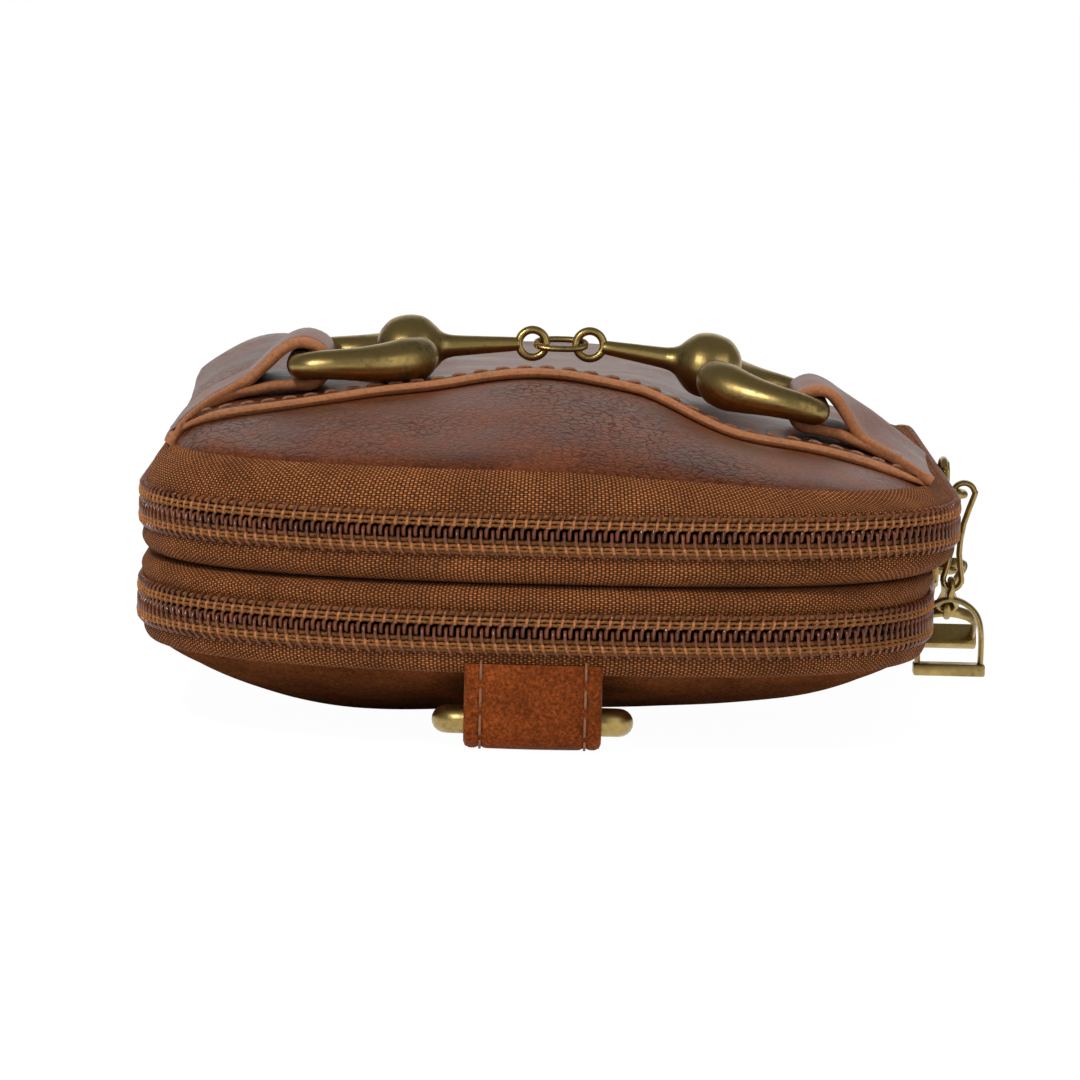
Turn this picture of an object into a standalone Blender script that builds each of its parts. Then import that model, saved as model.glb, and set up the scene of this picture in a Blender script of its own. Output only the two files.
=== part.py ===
"""Crossbody phone bag lying on its back: two zipped leather compartments joined at the far end.

It has a slip pocket and a horsebit ornament on the front, zip pulls on the right side and a strap ring in a tab
at the near end.

Run it with blender --background --python part.py, or from Blender's text editor.
Lengths below are millimetres, and +X is the bag's right, +Y its far end, +Z up from the table.
"""

import math

import bmesh
import bpy
from mathutils import Matrix, Vector

MM = 0.001
GAP = 0.3

# Outline of the closed bag, seen from above
HALF_WIDTH = 54.0
HALF_LENGTH = 92.5
CORNER_DEPTH = 42.0
CORNER_POWER = 2.6
CORNER_STEPS = 7
SIDE_STEPS = 4

# Heights of the seams and zips at the edge
BACK_SEAM = 10.5
BACK_CHAIN = 15.1
MIDDLE_SEAM = 21.1
FRONT_CHAIN = 27.6
FRONT_SEAM = 33.8

# Leather, lining and divider
PANEL_LEATHER = 1.4
POCKET_LEATHER = 1.0
STRAP_LEATHER = 1.2
TAB_LEATHER = 1.6
GUSSET_LEATHER = 1.2
LINING = 0.5
LINING_MARGIN = 5.0
DIVIDER = 1.8
WELT_WIDTH = 1.4
WELT_PROUD = 0.4
WELT_HEIGHT = 1.2

# Shape of the front panel
FRONT_INSET = 4.0
FRONT_CROWN = 8.2
FRONT_END_RISE = 38.0
FRONT_END_POWER = 1.5
FRONT_LEFT_RISE = 20.0
FRONT_LEFT_POWER = 2.2
FRONT_RIGHT_RISE = 42.0
FRONT_RIGHT_POWER = 1.18
FRONT_CROSS_FALL = 2.6
FRONT_FAR_FALL = 1.4

# Shape of the back panel
SIDE_CHANGE_WIDTH = 40.0
FRONT_FALL_START = -10.0
BACK_INSET = 2.0
BACK_LEFT_RISE = 24.0
BACK_RIGHT_RISE = 32.0
BACK_SIDE_POWER = 1.4
BACK_END_RISE = 38.0
BACK_END_POWER = 1.2
PANEL_RINGS = 10
PANEL_RING_POWER = 1.6
PANEL_FLAT = 3.0

# Zips
ZIP_END_INSET = 34.5
ZIP_END = HALF_LENGTH - ZIP_END_INSET
COIL_DEPTH = 1.6
CHAIN_HALF_HEIGHT = 3.0
COIL_GAP = 0.9
COIL_CHAMFER = 0.5
TAPE_THICKNESS = 0.6
TAPE_EDGE = 1.0
TAPE_LEAN_HEIGHT = 2.6
TAPE_KNEE = 0.2
STOP_LENGTH = 2.4
STOP_INSET = 0.2

# Sliders and their pulls
FRONT_SLIDER_Y = -6.0
BACK_SLIDER_Y = 12.0
SLIDER_LENGTH = 9.0
WING_THICKNESS = 1.2
WING_HALF_HEIGHT = 3.6
WING_BEVEL = 0.4
INNER_WING = 1.0
INNER_WING_SHORTER = 0.6
NECK_THICKNESS = 0.4
BAIL_REACH = 2.8
BAIL_BAR = 1.0
BAIL_HALF_LENGTH = 3.4
BAIL_DROP = 1.2
BAIL_ROOT = 0.2
BAIL_CORNER = 0.9
LINK_WIRE = 0.5
LINK_HALF_WIDTH = 1.5
LINK_LENGTH = 12.0
EYE_RADIUS = 1.3
EYE_WIRE = 0.5
STIRRUP_WIRE = 0.55
STIRRUP_HALF_WIDTH = 4.4
STIRRUP_HEIGHT = 9.0
STIRRUP_NECK = 0.1
STIRRUP_LEG = ((0.5, 0.08), (0.86, 0.29), (1.0, 0.62), (1.0, 1.03))
FOOTPLATE_DEPTH = 3.4
FOOTPLATE_THICKNESS = 1.1
FOOTPLATE_PROUD = 0.6
FRONT_PULL_LEAN = 6.0
BACK_LINK_SWING = 60.0
BACK_LINK_SLACK = 0.8
BACK_PULL_SWING = 62.0

# Slip pocket on the front
POCKET_CLEARANCE = 0.55
POCKET_EDGE_Y = -47.5
POCKET_ARCH = 0.0125
POCKET_SIDE_INSET = 5.4
POCKET_HALF_WIDTH = HALF_WIDTH - POCKET_SIDE_INSET
POCKET_INSET = 6.0
POCKET_END_INSET = 8.5
POCKET_END_Y = HALF_LENGTH - POCKET_END_INSET
POCKET_COLUMNS = 22
POCKET_ROWS = 15

# Horsebit
BIT_Y = -36.0
BIT_SHIFT = 2.0
BALL_RADIUS = 4.5
BALL_RINGS = 12
BALL_SIDES = 16
BORE_SIDES = 12
BALL_SIDE_INSET = 33.9
BALL_SPREAD = HALF_WIDTH - BALL_SIDE_INSET
RING_REACH = 16.0
RING_SLANT = 0.97
RING_WIRE = 1.5
RING_BELLY = 2.7
RING_SHOULDER = 2.0
RING_HALF_HEIGHT = 12.6
PIN_WIRE = 1.4
RING_HALF_LOOP = ((1.0, 0.0, RING_WIRE), (1.0, 0.81, RING_WIRE), (0.95, 0.97, RING_WIRE),
                  (0.78, 1.02, RING_SHOULDER), (0.5, 1.0, RING_BELLY), (0.24, 0.75, RING_BELLY),
                  (0.04, 0.53, RING_SHOULDER), (0.0, 0.38, PIN_WIRE), (0.0, 0.0, PIN_WIRE))
PIN_CLEARANCE = 0.35
CANNON_ROOT_RADIUS = 1.75
CANNON_RADIUS = 1.4
CANNON_TIP_RADIUS = 0.86
CANNON_ROOT = 0.6
CANNON_NECK = 1.1
CANNON_EYE_RADIUS = 1.85
CANNON_EYE_WIRE = 0.55
CANNON_EYE_SPREAD = 3.75
MIDDLE_LINK_HALF_LENGTH = 3.35
MIDDLE_LINK_HALF_WIDTH = 1.5
MIDDLE_LINK_WIRE = 0.42
MIDDLE_LINK_TURN = 22.0
MIDDLE_LINK_SIDES = 20
MIDDLE_LINK_POWER = 0.8
BIT_STRAP_WIDTH = 20.0
STRAP_CLEARANCE = 0.5
BIT_STRAP_TURN_IN = 7.2
BIT_STRAP_STEPS = (0.6, 2.2, 4.4, 7.0)
BIT_STRAP_LIFT = 0.25

# Strap tab and its ring at the near end
TAB_WIDTH = 17.5
TAB_SHIFT = -1.6
RING_TAB_WIRE = 1.8
STRAP_RING_WIDTH = 25.7
STRAP_RING_REACH = 14.5
STRAP_RING_CORNER = 2.0
STRAP_RING_ROUND = 0.9
TAB_FRONT = 0.2
TAB_LIFT = 0.08
TAB_RISE = 1.4
TAB_END = 0.9

LEATHER_FRONT = ((0.23, 0.085, 0.035, 1.0), 0.45, 0.0)
LEATHER_BACK = ((0.16, 0.065, 0.032, 1.0), 0.5, 0.0)
LEATHER_TRIM = ((0.30, 0.11, 0.045, 1.0), 0.5, 0.0)
FABRIC_LINING = ((0.12, 0.075, 0.045, 1.0), 0.85, 0.0)
FABRIC_TAPE = ((0.29, 0.13, 0.05, 1.0), 0.8, 0.0)
NYLON_COIL = ((0.09, 0.03, 0.015, 1.0), 0.35, 0.0)
ANTIQUE_BRASS = ((0.36, 0.26, 0.12, 1.0), 0.35, 1.0)


def clear_scene():
    """Start from an empty scene."""
    for thing in list(bpy.data.objects):
        bpy.data.objects.remove(thing, do_unlink=True)


def material_for(name, finish):
    """A Principled material in the part's own colour."""
    colour, roughness, metallic = finish
    material = bpy.data.materials.new(name)
    material.use_nodes = True
    shader = material.node_tree.nodes["Principled BSDF"]
    shader.inputs["Base Color"].default_value = colour
    shader.inputs["Roughness"].default_value = roughness
    shader.inputs["Metallic"].default_value = metallic
    material.diffuse_color = colour
    return material


def add_object(name, vertices, faces, finish, parent=None, smooth=True):
    """One named solid from points in millimetres, in its parent's own frame."""
    mesh = bpy.data.meshes.new(name)
    mesh.from_pydata([Vector(v) * MM for v in vertices], [], faces)
    body = bmesh.new()
    body.from_mesh(mesh)
    bmesh.ops.recalc_face_normals(body, faces=body.faces)
    if body.calc_volume(signed=True) < 0:
        bmesh.ops.reverse_faces(body, faces=body.faces)
    body.to_mesh(mesh)
    body.free()
    if smooth:
        mesh.shade_smooth()
        mesh.set_sharp_from_angle(angle=math.radians(35))
    mesh.materials.append(material_for(name, finish))
    thing = bpy.data.objects.new(name, mesh)
    bpy.context.scene.collection.objects.link(thing)
    if parent:
        thing.parent = parent
        if parent.get("carries_bag_frame"):
            thing.matrix_parent_inverse = parent.matrix_world.inverted()
    return thing


def add_hinge(name, position, parent=None):
    """An empty on an opening hinge, whose pieces are given in the bag's own frame."""
    empty = add_axis(name, position, parent)
    empty["carries_bag_frame"] = True
    return empty


def add_axis(name, position, parent=None, turn=None):
    """An empty on a joint's axis, whose pieces are given from that axis."""
    empty = bpy.data.objects.new(name, None)
    empty.empty_display_size = 5 * MM
    bpy.context.scene.collection.objects.link(empty)
    place = Matrix.Translation(Vector(position) * MM)
    if turn:
        place = place @ turn
    if parent:
        empty.parent = parent
        bpy.context.view_layer.update()
        empty.matrix_parent_inverse = parent.matrix_world.inverted()
    empty.matrix_world = place
    bpy.context.view_layer.update()
    return empty


def unite(target, *others):
    """Join overlapping shapes into one closed body."""
    for other in others:
        joint = target.modifiers.new("join " + other.name, "BOOLEAN")
        joint.operation = "UNION"
        joint.object = other
        other.hide_render = True
        other.display_type = "WIRE"


def outline_point(inset, step, far_side, right_side):
    """Point on a corner of the outline drawn in by inset; step 0 is at the side and 1 at the tip."""
    angle = step * math.pi / 2
    power = 2 / CORNER_POWER
    depth = CORNER_DEPTH - inset
    x = (HALF_WIDTH - inset) * math.cos(angle) ** power if step < 1 else 0.0
    y = HALF_LENGTH - CORNER_DEPTH + depth * math.sin(angle) ** power
    return (x if right_side else -x, y if far_side else -y)


def closed_outline(inset):
    """The whole outline, anticlockwise from the right side."""
    straight = HALF_LENGTH - CORNER_DEPTH
    points = []
    for corner in range(4):
        right_side = corner in (0, 3)
        far_side = corner < 2
        steps = [i / CORNER_STEPS for i in range(CORNER_STEPS)]
        if corner in (1, 3):
            steps = [1 - i / CORNER_STEPS for i in range(CORNER_STEPS)]
        points += [outline_point(inset, s, far_side, right_side) for s in steps]
        if corner in (1, 3):
            side = 1 if right_side else -1
            for i in range(SIDE_STEPS):
                points.append((side * (HALF_WIDTH - inset), side * straight * (2 * i / SIDE_STEPS - 1)))
    return points


def zip_outline(inset):
    """The open path of a zip, from its left end round the near end to its right end."""
    straight = HALF_LENGTH - CORNER_DEPTH
    side = HALF_WIDTH - inset
    length = ZIP_END + straight
    rises = [i / SIDE_STEPS for i in range(SIDE_STEPS)]
    points = [far_side_point(-side, ZIP_END - length * r, inset) for r in rises]
    points += [outline_point(inset, i / CORNER_STEPS, False, False) for i in range(CORNER_STEPS)]
    points += [outline_point(inset, 1 - i / CORNER_STEPS, False, True) for i in range(CORNER_STEPS)]
    places = [length * (i / SIDE_STEPS) - straight for i in range(SIDE_STEPS + 1)]
    points += [far_side_point(side, y, inset) for y in places]
    return points


def far_side_point(x, y, inset):
    """A point of the side, drawn in where it runs into the far corner."""
    straight = HALF_LENGTH - CORNER_DEPTH
    if y <= straight:
        return (x, y)
    share = ((y - straight) / (CORNER_DEPTH - inset)) ** CORNER_POWER
    return (x * (1 - share) ** (1 / CORNER_POWER), y)


def inset_at(x, y):
    """How far in from the outline a point lies, and how much it belongs to an end and not to a side."""
    straight = HALF_LENGTH - CORNER_DEPTH
    beyond = abs(y) - straight
    if beyond <= 0:
        return HALF_WIDTH - abs(x), 0.0
    low = -20.0
    high = min(HALF_WIDTH, CORNER_DEPTH) - 1e-6
    for _ in range(50):
        middle = (low + high) / 2
        reach = (abs(x) / (HALF_WIDTH - middle)) ** CORNER_POWER
        reach += (beyond / (CORNER_DEPTH - middle)) ** CORNER_POWER
        if reach > 1:
            high = middle
        else:
            low = middle
    return low, min(1.0, (beyond / (CORNER_DEPTH - low)) ** CORNER_POWER)


def rise(distance, reach, power):
    """A rounded edge, from 0 at the seam to 1 at its reach."""
    share = min(max(distance / reach, 0.0), 1.0)
    return (1 - (1 - share) ** power) ** (1 / power)


def smooth_step(share):
    """A soft change from 0 to 1."""
    share = min(max(share, 0.0), 1.0)
    return share * share * (3 - 2 * share)


def front_height(x, y):
    """Height of the front panel's outer face."""
    inset, end_share = inset_at(x, y)
    right_share = smooth_step(0.5 + x / SIDE_CHANGE_WIDTH)
    side_rise = FRONT_LEFT_RISE + (FRONT_RIGHT_RISE - FRONT_LEFT_RISE) * right_share
    side_power = FRONT_LEFT_POWER + (FRONT_RIGHT_POWER - FRONT_LEFT_POWER) * right_share
    reach = side_rise + (FRONT_END_RISE - side_rise) * end_share
    power = side_power + (FRONT_END_POWER - side_power) * end_share
    lift = rise(inset - FRONT_INSET, reach, power)
    fall = FRONT_CROSS_FALL * (x / HALF_WIDTH) ** 2
    fall += FRONT_FAR_FALL * smooth_step((y - FRONT_FALL_START) / HALF_LENGTH)
    return FRONT_SEAM + lift * (FRONT_CROWN - fall)


def back_height(x, y):
    """Height of the back panel's outer face."""
    inset, end_share = inset_at(x, y)
    side_rise = BACK_LEFT_RISE + (BACK_RIGHT_RISE - BACK_LEFT_RISE) * smooth_step(0.5 + x / SIDE_CHANGE_WIDTH)
    reach = side_rise + (BACK_END_RISE - side_rise) * end_share
    power = BACK_SIDE_POWER + (BACK_END_POWER - BACK_SIDE_POWER) * end_share
    return BACK_SEAM * (1 - rise(inset - BACK_INSET, reach, power))


def off_surface(height, x, y, distance):
    """A point off a panel's face along its normal, upwards where the distance is above 0."""
    step = 0.05
    slope_x = (height(x + step, y) - height(x - step, y)) / (2 * step)
    slope_y = (height(x, y + step) - height(x, y - step)) / (2 * step)
    normal = Vector((-slope_x, -slope_y, 1)).normalized()
    return Vector((x, y, height(x, y))) + normal * distance


def off_rim(height, x, y, distance):
    """A point level with a panel's seam, moved inwards by a distance."""
    rim = Vector((x, y, height(x, y)))
    away = off_surface(height, x, y, distance) - rim
    away.z = 0
    return rim + away.normalized() * abs(distance)


def bridge(name, rings, finish, parent=None, smooth=True):
    """A closed solid from a row of rings, with its two ends filled."""
    count = len(rings[0])
    vertices = [v for ring in rings for v in ring]
    faces = []
    for r in range(len(rings) - 1):
        for i in range(count):
            j = (i + 1) % count
            a = r * count
            faces.append((a + i, a + j, a + count + j, a + count + i))
    faces.append(tuple(range(count)))
    last = (len(rings) - 1) * count
    faces.append(tuple(range(last, last + count)))
    return add_object(name, vertices, faces, finish, parent, smooth)


def panel(name, height, first_inset, near, far, finish, parent, first_place=off_rim):
    """A dished panel between two distances off a face, with a rim of its own and a filled crown."""
    last_inset = CORNER_DEPTH - PANEL_FLAT
    outer = []
    inner = []
    for i in range(PANEL_RINGS + 1):
        share = (i / PANEL_RINGS) ** PANEL_RING_POWER
        outline = closed_outline(first_inset + (last_inset - first_inset) * share)
        place = first_place if i == 0 else off_surface
        outer.append([place(height, x, y, near) for x, y in outline])
        inner.append([place(height, x, y, far) for x, y in outline])
    return bridge(name, list(reversed(inner)) + outer, finish, parent)


def zip_band(name, section, finish, parent):
    """A strip that follows a zip's path; section is a list of (inset, height) corners."""
    paths = [zip_outline(inset) for inset, _ in section]
    rings = []
    for i in range(len(paths[0])):
        rings.append([(path[i][0], path[i][1], height) for path, (_, height) in zip(paths, section)])
    return bridge(name, rings, finish, parent)


def sweep(name, path, radii, normal, sides, finish, parent=None, closed=True):
    """A round bar along a flat path; normal is the path's plane."""
    count = len(path)
    rings = []
    for i, point in enumerate(path):
        before = path[(i - 1) % count] if closed or i > 0 else point
        after = path[(i + 1) % count] if closed or i < count - 1 else point
        along = (Vector(after) - Vector(before)).normalized()
        across = along.cross(Vector(normal)).normalized()
        ring = []
        for k in range(sides):
            angle = 2 * math.pi * k / sides
            away = across * math.cos(angle) + Vector(normal) * math.sin(angle)
            ring.append(Vector(point) + away * radii[i])
        rings.append(ring)
    join = bridge_loop if closed else bridge
    return join(name, rings, finish, parent)


def bridge_loop(name, rings, finish, parent=None):
    """A closed solid from rings that go all the way round."""
    count = len(rings[0])
    vertices = [v for ring in rings for v in ring]
    faces = []
    for r in range(len(rings)):
        following = ((r + 1) % len(rings)) * count
        for i in range(count):
            j = (i + 1) % count
            faces.append((r * count + i, r * count + j, following + j, following + i))
    return add_object(name, vertices, faces, finish, parent)


def block(name, low, high, finish, parent=None):
    """A plain block between two corners."""
    rings = [[(low[0], low[1], z), (high[0], low[1], z), (high[0], high[1], z), (low[0], high[1], z)]
             for z in (low[2], high[2])]
    return bridge(name, rings, finish, parent, smooth=False)


def ribbon(name, path, thickness, low, high, along, finish, parent=None):
    """A leather strip of even thickness: a path in one plane, made wide along X or Y."""
    left = []
    right = []
    for i, (u, v) in enumerate(path):
        a = path[max(i - 1, 0)]
        b = path[min(i + 1, len(path) - 1)]
        du, dv = b[0] - a[0], b[1] - a[1]
        size = math.hypot(du, dv)
        nu, nv = -dv / size, du / size
        left.append((u + nu * thickness / 2, v + nv * thickness / 2))
        right.append((u - nu * thickness / 2, v - nv * thickness / 2))
    rings = []
    for (lu, lv), (ru, rv) in zip(left, right):
        corners = [(lu, lv, low), (lu, lv, high), (ru, rv, high), (ru, rv, low)]
        if along == "Y":
            rings.append([(u, w, v) for u, v, w in corners])
        else:
            rings.append([(w, u, v) for u, v, w in corners])
    return bridge(name, rings, finish, parent)


def arc(centre, radius, start, end, steps):
    """Points on an arc in a plane, angles in degrees."""
    points = []
    for i in range(steps + 1):
        angle = math.radians(start + (end - start) * i / steps)
        points.append((centre[0] + radius * math.cos(angle), centre[1] + radius * math.sin(angle)))
    return points


def smooth_path(points, steps, closed=False):
    """A smooth curve through chosen points."""
    count = len(points)
    found = []
    last = count if closed else count - 1
    for i in range(last):
        p = [Vector(points[j % count] if closed else points[min(max(j, 0), count - 1)])
             for j in (i - 1, i, i + 1, i + 2)]
        for k in range(steps):
            t = k / steps
            square = (2 * p[0] - 5 * p[1] + 4 * p[2] - p[3]) * t ** 2
            cube = (3 * p[1] - p[0] - 3 * p[2] + p[3]) * t ** 3
            found.append(0.5 * (2 * p[1] + (p[2] - p[0]) * t + square + cube))
    if not closed:
        found.append(Vector(points[-1]))
    return found


def back_shell():
    """The back panel, its lining, the back zip's lower half and the far gusset below the divider."""
    inner = PANEL_LEATHER + GAP
    panel("back_panel", back_height, BACK_INSET, 0.0, PANEL_LEATHER, LEATHER_BACK, None)
    rim = BACK_INSET + LINING_MARGIN
    panel("back_lining", back_height, rim, inner, inner + LINING, FABRIC_LINING, None, off_surface)
    zip_half("back", BACK_CHAIN, BACK_SEAM, "lower", None)
    far_gusset("back_gusset", BACK_SEAM + GAP, MIDDLE_SEAM - DIVIDER / 2 - GAP, None)


def tape_section(chain, seam, lean_inset):
    """A tape half's corners, from beside the coil to its seam."""
    direction = 1 if seam > chain else -1
    start = chain + direction * TAPE_EDGE
    outer = COIL_DEPTH + GAP
    inner = outer + TAPE_THICKNESS
    if lean_inset <= outer:
        return [(outer, start), (outer, seam), (inner, seam), (inner, start)]
    knee = seam - direction * TAPE_LEAN_HEIGHT
    return [(outer, start), (outer, knee), (lean_inset, seam), (lean_inset + TAPE_THICKNESS, seam),
            (inner, knee + direction * TAPE_KNEE), (inner, start)]


def coil_section(chain, direction):
    """A coil half's corners, rounded on the outer face."""
    near = chain + direction * COIL_GAP / 2
    far = chain + direction * CHAIN_HALF_HEIGHT
    chamfer = direction * COIL_CHAMFER
    return [(COIL_DEPTH, near), (COIL_CHAMFER / 2, near), (0.0, near + chamfer), (0.0, far - chamfer),
            (COIL_CHAMFER, far), (COIL_DEPTH, far)]


def zip_half(prefix, chain, seam, word, parent, lean=0.0):
    """One half of a zip: its coil, and its tape up or down to a seam."""
    direction = 1 if seam > chain else -1
    zip_band(f"{prefix}_tape_{word}", tape_section(chain, seam - direction * GAP, lean), FABRIC_TAPE, parent)
    zip_band(f"{prefix}_coil_{word}", coil_section(chain, direction), NYLON_COIL, parent)


def zip_stops(prefix, chain, parent):
    """The metal stops past the two ends of the coil, on the middle's half."""
    for side, word in ((-1, "left"), (1, "right")):
        outer, start = far_side_point(HALF_WIDTH, ZIP_END + GAP, 0)
        inner, end = far_side_point(HALF_WIDTH - COIL_DEPTH, ZIP_END + GAP + STOP_LENGTH, COIL_DEPTH)
        across = sorted((side * inner, side * (outer - STOP_INSET)))
        low = (across[0], start, chain - CHAIN_HALF_HEIGHT)
        high = (across[1], end, chain + CHAIN_HALF_HEIGHT)
        block(f"{prefix}_stop_{word}", low, high, ANTIQUE_BRASS, parent)


def far_gusset(name, low, high, parent):
    """The leather wall that closes the far end between two seams."""
    straight = HALF_LENGTH - CORNER_DEPTH
    start = ZIP_END + 3 * GAP + STOP_LENGTH
    outer = COIL_DEPTH
    inner = outer + GUSSET_LEATHER
    reach = ((start - straight) / (CORNER_DEPTH - outer)) ** (CORNER_POWER / 2)
    first_step = math.asin(reach) / (math.pi / 2)
    steps = [first_step + (1 - first_step) * i / CORNER_STEPS for i in range(CORNER_STEPS + 1)]
    path = [(s, False) for s in steps] + [(s, True) for s in reversed(steps[:-1])]
    rings = []
    for step, right_side in path:
        a = outline_point(outer, step, True, right_side)
        b = outline_point(inner, step, True, right_side)
        rings.append([(*a, low), (*a, high), (*b, high), (*b, low)])
    bridge(name, rings, LEATHER_FRONT, parent)


def middle_wall(parent):
    """The divider between the compartments, the welt round it, and the zip halves sewn to it."""
    welt_outer = COIL_DEPTH - WELT_PROUD
    welt_inner = welt_outer + WELT_WIDTH
    welt_low = MIDDLE_SEAM - WELT_HEIGHT / 2
    welt_high = MIDDLE_SEAM + WELT_HEIGHT / 2
    welt = [(welt_outer, welt_low), (welt_outer, welt_high), (welt_inner, welt_high), (welt_inner, welt_low)]
    zip_band("middle_welt", welt, LEATHER_TRIM, parent)
    low = MIDDLE_SEAM - DIVIDER / 2
    high = MIDDLE_SEAM + DIVIDER / 2
    outline = closed_outline(welt_inner + 2 * GAP)
    bridge("divider", [[(x, y, z) for x, y in outline] for z in (low, high)], FABRIC_LINING, parent)
    zip_half("back", BACK_CHAIN, welt_low, "upper", parent)
    zip_half("front", FRONT_CHAIN, welt_high, "lower", parent)
    zip_stops("back", BACK_CHAIN, parent)
    zip_stops("front", FRONT_CHAIN, parent)
    far_gusset("front_gusset", high + GAP, FRONT_SEAM - GAP, parent)


def front_shell(parent):
    """The front panel, its lining, the front zip's upper half and the slip pocket."""
    inner = PANEL_LEATHER + GAP
    panel("front_panel", front_height, FRONT_INSET, 0.0, -PANEL_LEATHER, LEATHER_FRONT, parent)
    rim = FRONT_INSET + LINING_MARGIN
    panel("front_lining", front_height, rim, -inner, -inner - LINING, FABRIC_LINING, parent, off_surface)
    zip_half("front", FRONT_CHAIN, FRONT_SEAM, "upper", parent, FRONT_INSET)
    slip_pocket(parent)


def pocket_edge(x):
    """How far the pocket's arched mouth reaches towards the near end."""
    return POCKET_EDGE_Y - POCKET_ARCH * x * x


def slip_pocket(parent):
    """The pocket's leather, lying on the front panel from its arched mouth to the far end."""
    grid = []
    for j in range(POCKET_ROWS + 1):
        row = []
        for i in range(POCKET_COLUMNS + 1):
            across = math.sin(math.pi / 2 * (2 * i / POCKET_COLUMNS - 1))
            mouth = pocket_edge(across * POCKET_HALF_WIDTH)
            y = mouth + (POCKET_END_Y - mouth) * j / POCKET_ROWS
            limit = far_side_point(1, abs(y), POCKET_INSET)[0] * POCKET_HALF_WIDTH
            row.append((across * limit, y))
        grid.append(row)
    count = POCKET_COLUMNS + 1
    vertices = []
    for distance in (POCKET_CLEARANCE, POCKET_CLEARANCE + POCKET_LEATHER):
        for row in grid:
            vertices += [off_surface(front_height, x, y, distance) for x, y in row]
    layer = count * (POCKET_ROWS + 1)
    faces = []
    for j in range(POCKET_ROWS):
        for i in range(POCKET_COLUMNS):
            a = j * count + i
            quad = (a, a + 1, a + count + 1, a + count)
            faces.append(tuple(reversed(quad)))
            faces.append(tuple(v + layer for v in quad))
    border = list(range(count))
    border += [j * count + count - 1 for j in range(1, POCKET_ROWS + 1)]
    border += [POCKET_ROWS * count + i for i in range(count - 2, -1, -1)]
    border += [j * count for j in range(POCKET_ROWS - 1, 0, -1)]
    for k, a in enumerate(border):
        b = border[(k + 1) % len(border)]
        faces.append((a, b, b + layer, a + layer))
    add_object("front_pocket", vertices, faces, LEATHER_FRONT, parent)


def slider(prefix, chain, y, parent):
    """A zip slider: wings outside and inside the tape, a neck between the coils and an arch."""
    axis = add_axis(f"{prefix}_slider_axis", (HALF_WIDTH, y, chain), parent)
    outer_low = GAP
    outer_high = GAP + WING_THICKNESS
    inner_high = -(COIL_DEPTH + GAP + TAPE_THICKNESS + GAP)
    inner_low = inner_high - INNER_WING
    tall = WING_HALF_HEIGHT
    short = WING_HALF_HEIGHT - INNER_WING_SHORTER
    bevelled = WING_HALF_HEIGHT - WING_BEVEL
    neck = NECK_THICKNESS / 2
    profile = [(inner_low, -short), (inner_high, -short), (inner_high, -neck), (outer_low, -neck),
               (outer_low, -tall), (outer_high, -bevelled), (outer_high, bevelled), (outer_low, tall),
               (outer_low, neck), (inner_high, neck), (inner_high, short), (inner_low, short)]
    rings = [[(x, end, z) for x, z in profile] for end in (-SLIDER_LENGTH / 2, SLIDER_LENGTH / 2)]
    body = bridge(f"{prefix}_slider", rings, ANTIQUE_BRASS, axis, smooth=False)
    foot = outer_high - BAIL_ROOT
    top = outer_high + BAIL_REACH
    half = BAIL_HALF_LENGTH
    bar = BAIL_BAR
    cut = BAIL_CORNER
    trim = BAIL_CORNER / 3
    arch = [(foot, -half), (top - cut, -half), (top, -half + cut), (top, half - cut), (top - cut, half),
            (foot, half), (foot, half - bar), (top - bar - trim, half - bar), (top - bar, half - bar - trim),
            (top - bar, -half + bar + trim), (top - bar - trim, -half + bar), (foot, -half + bar)]
    rings = [[(x, v, z) for x, v in arch] for z in (-BAIL_DROP - bar / 2, -BAIL_DROP + bar / 2)]
    bail = bridge(f"{prefix}_bail_cutter", rings, ANTIQUE_BRASS, axis, smooth=False)
    unite(body, bail)
    return axis, (HALF_WIDTH + top - bar / 2, y, chain - BAIL_DROP)


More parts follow.
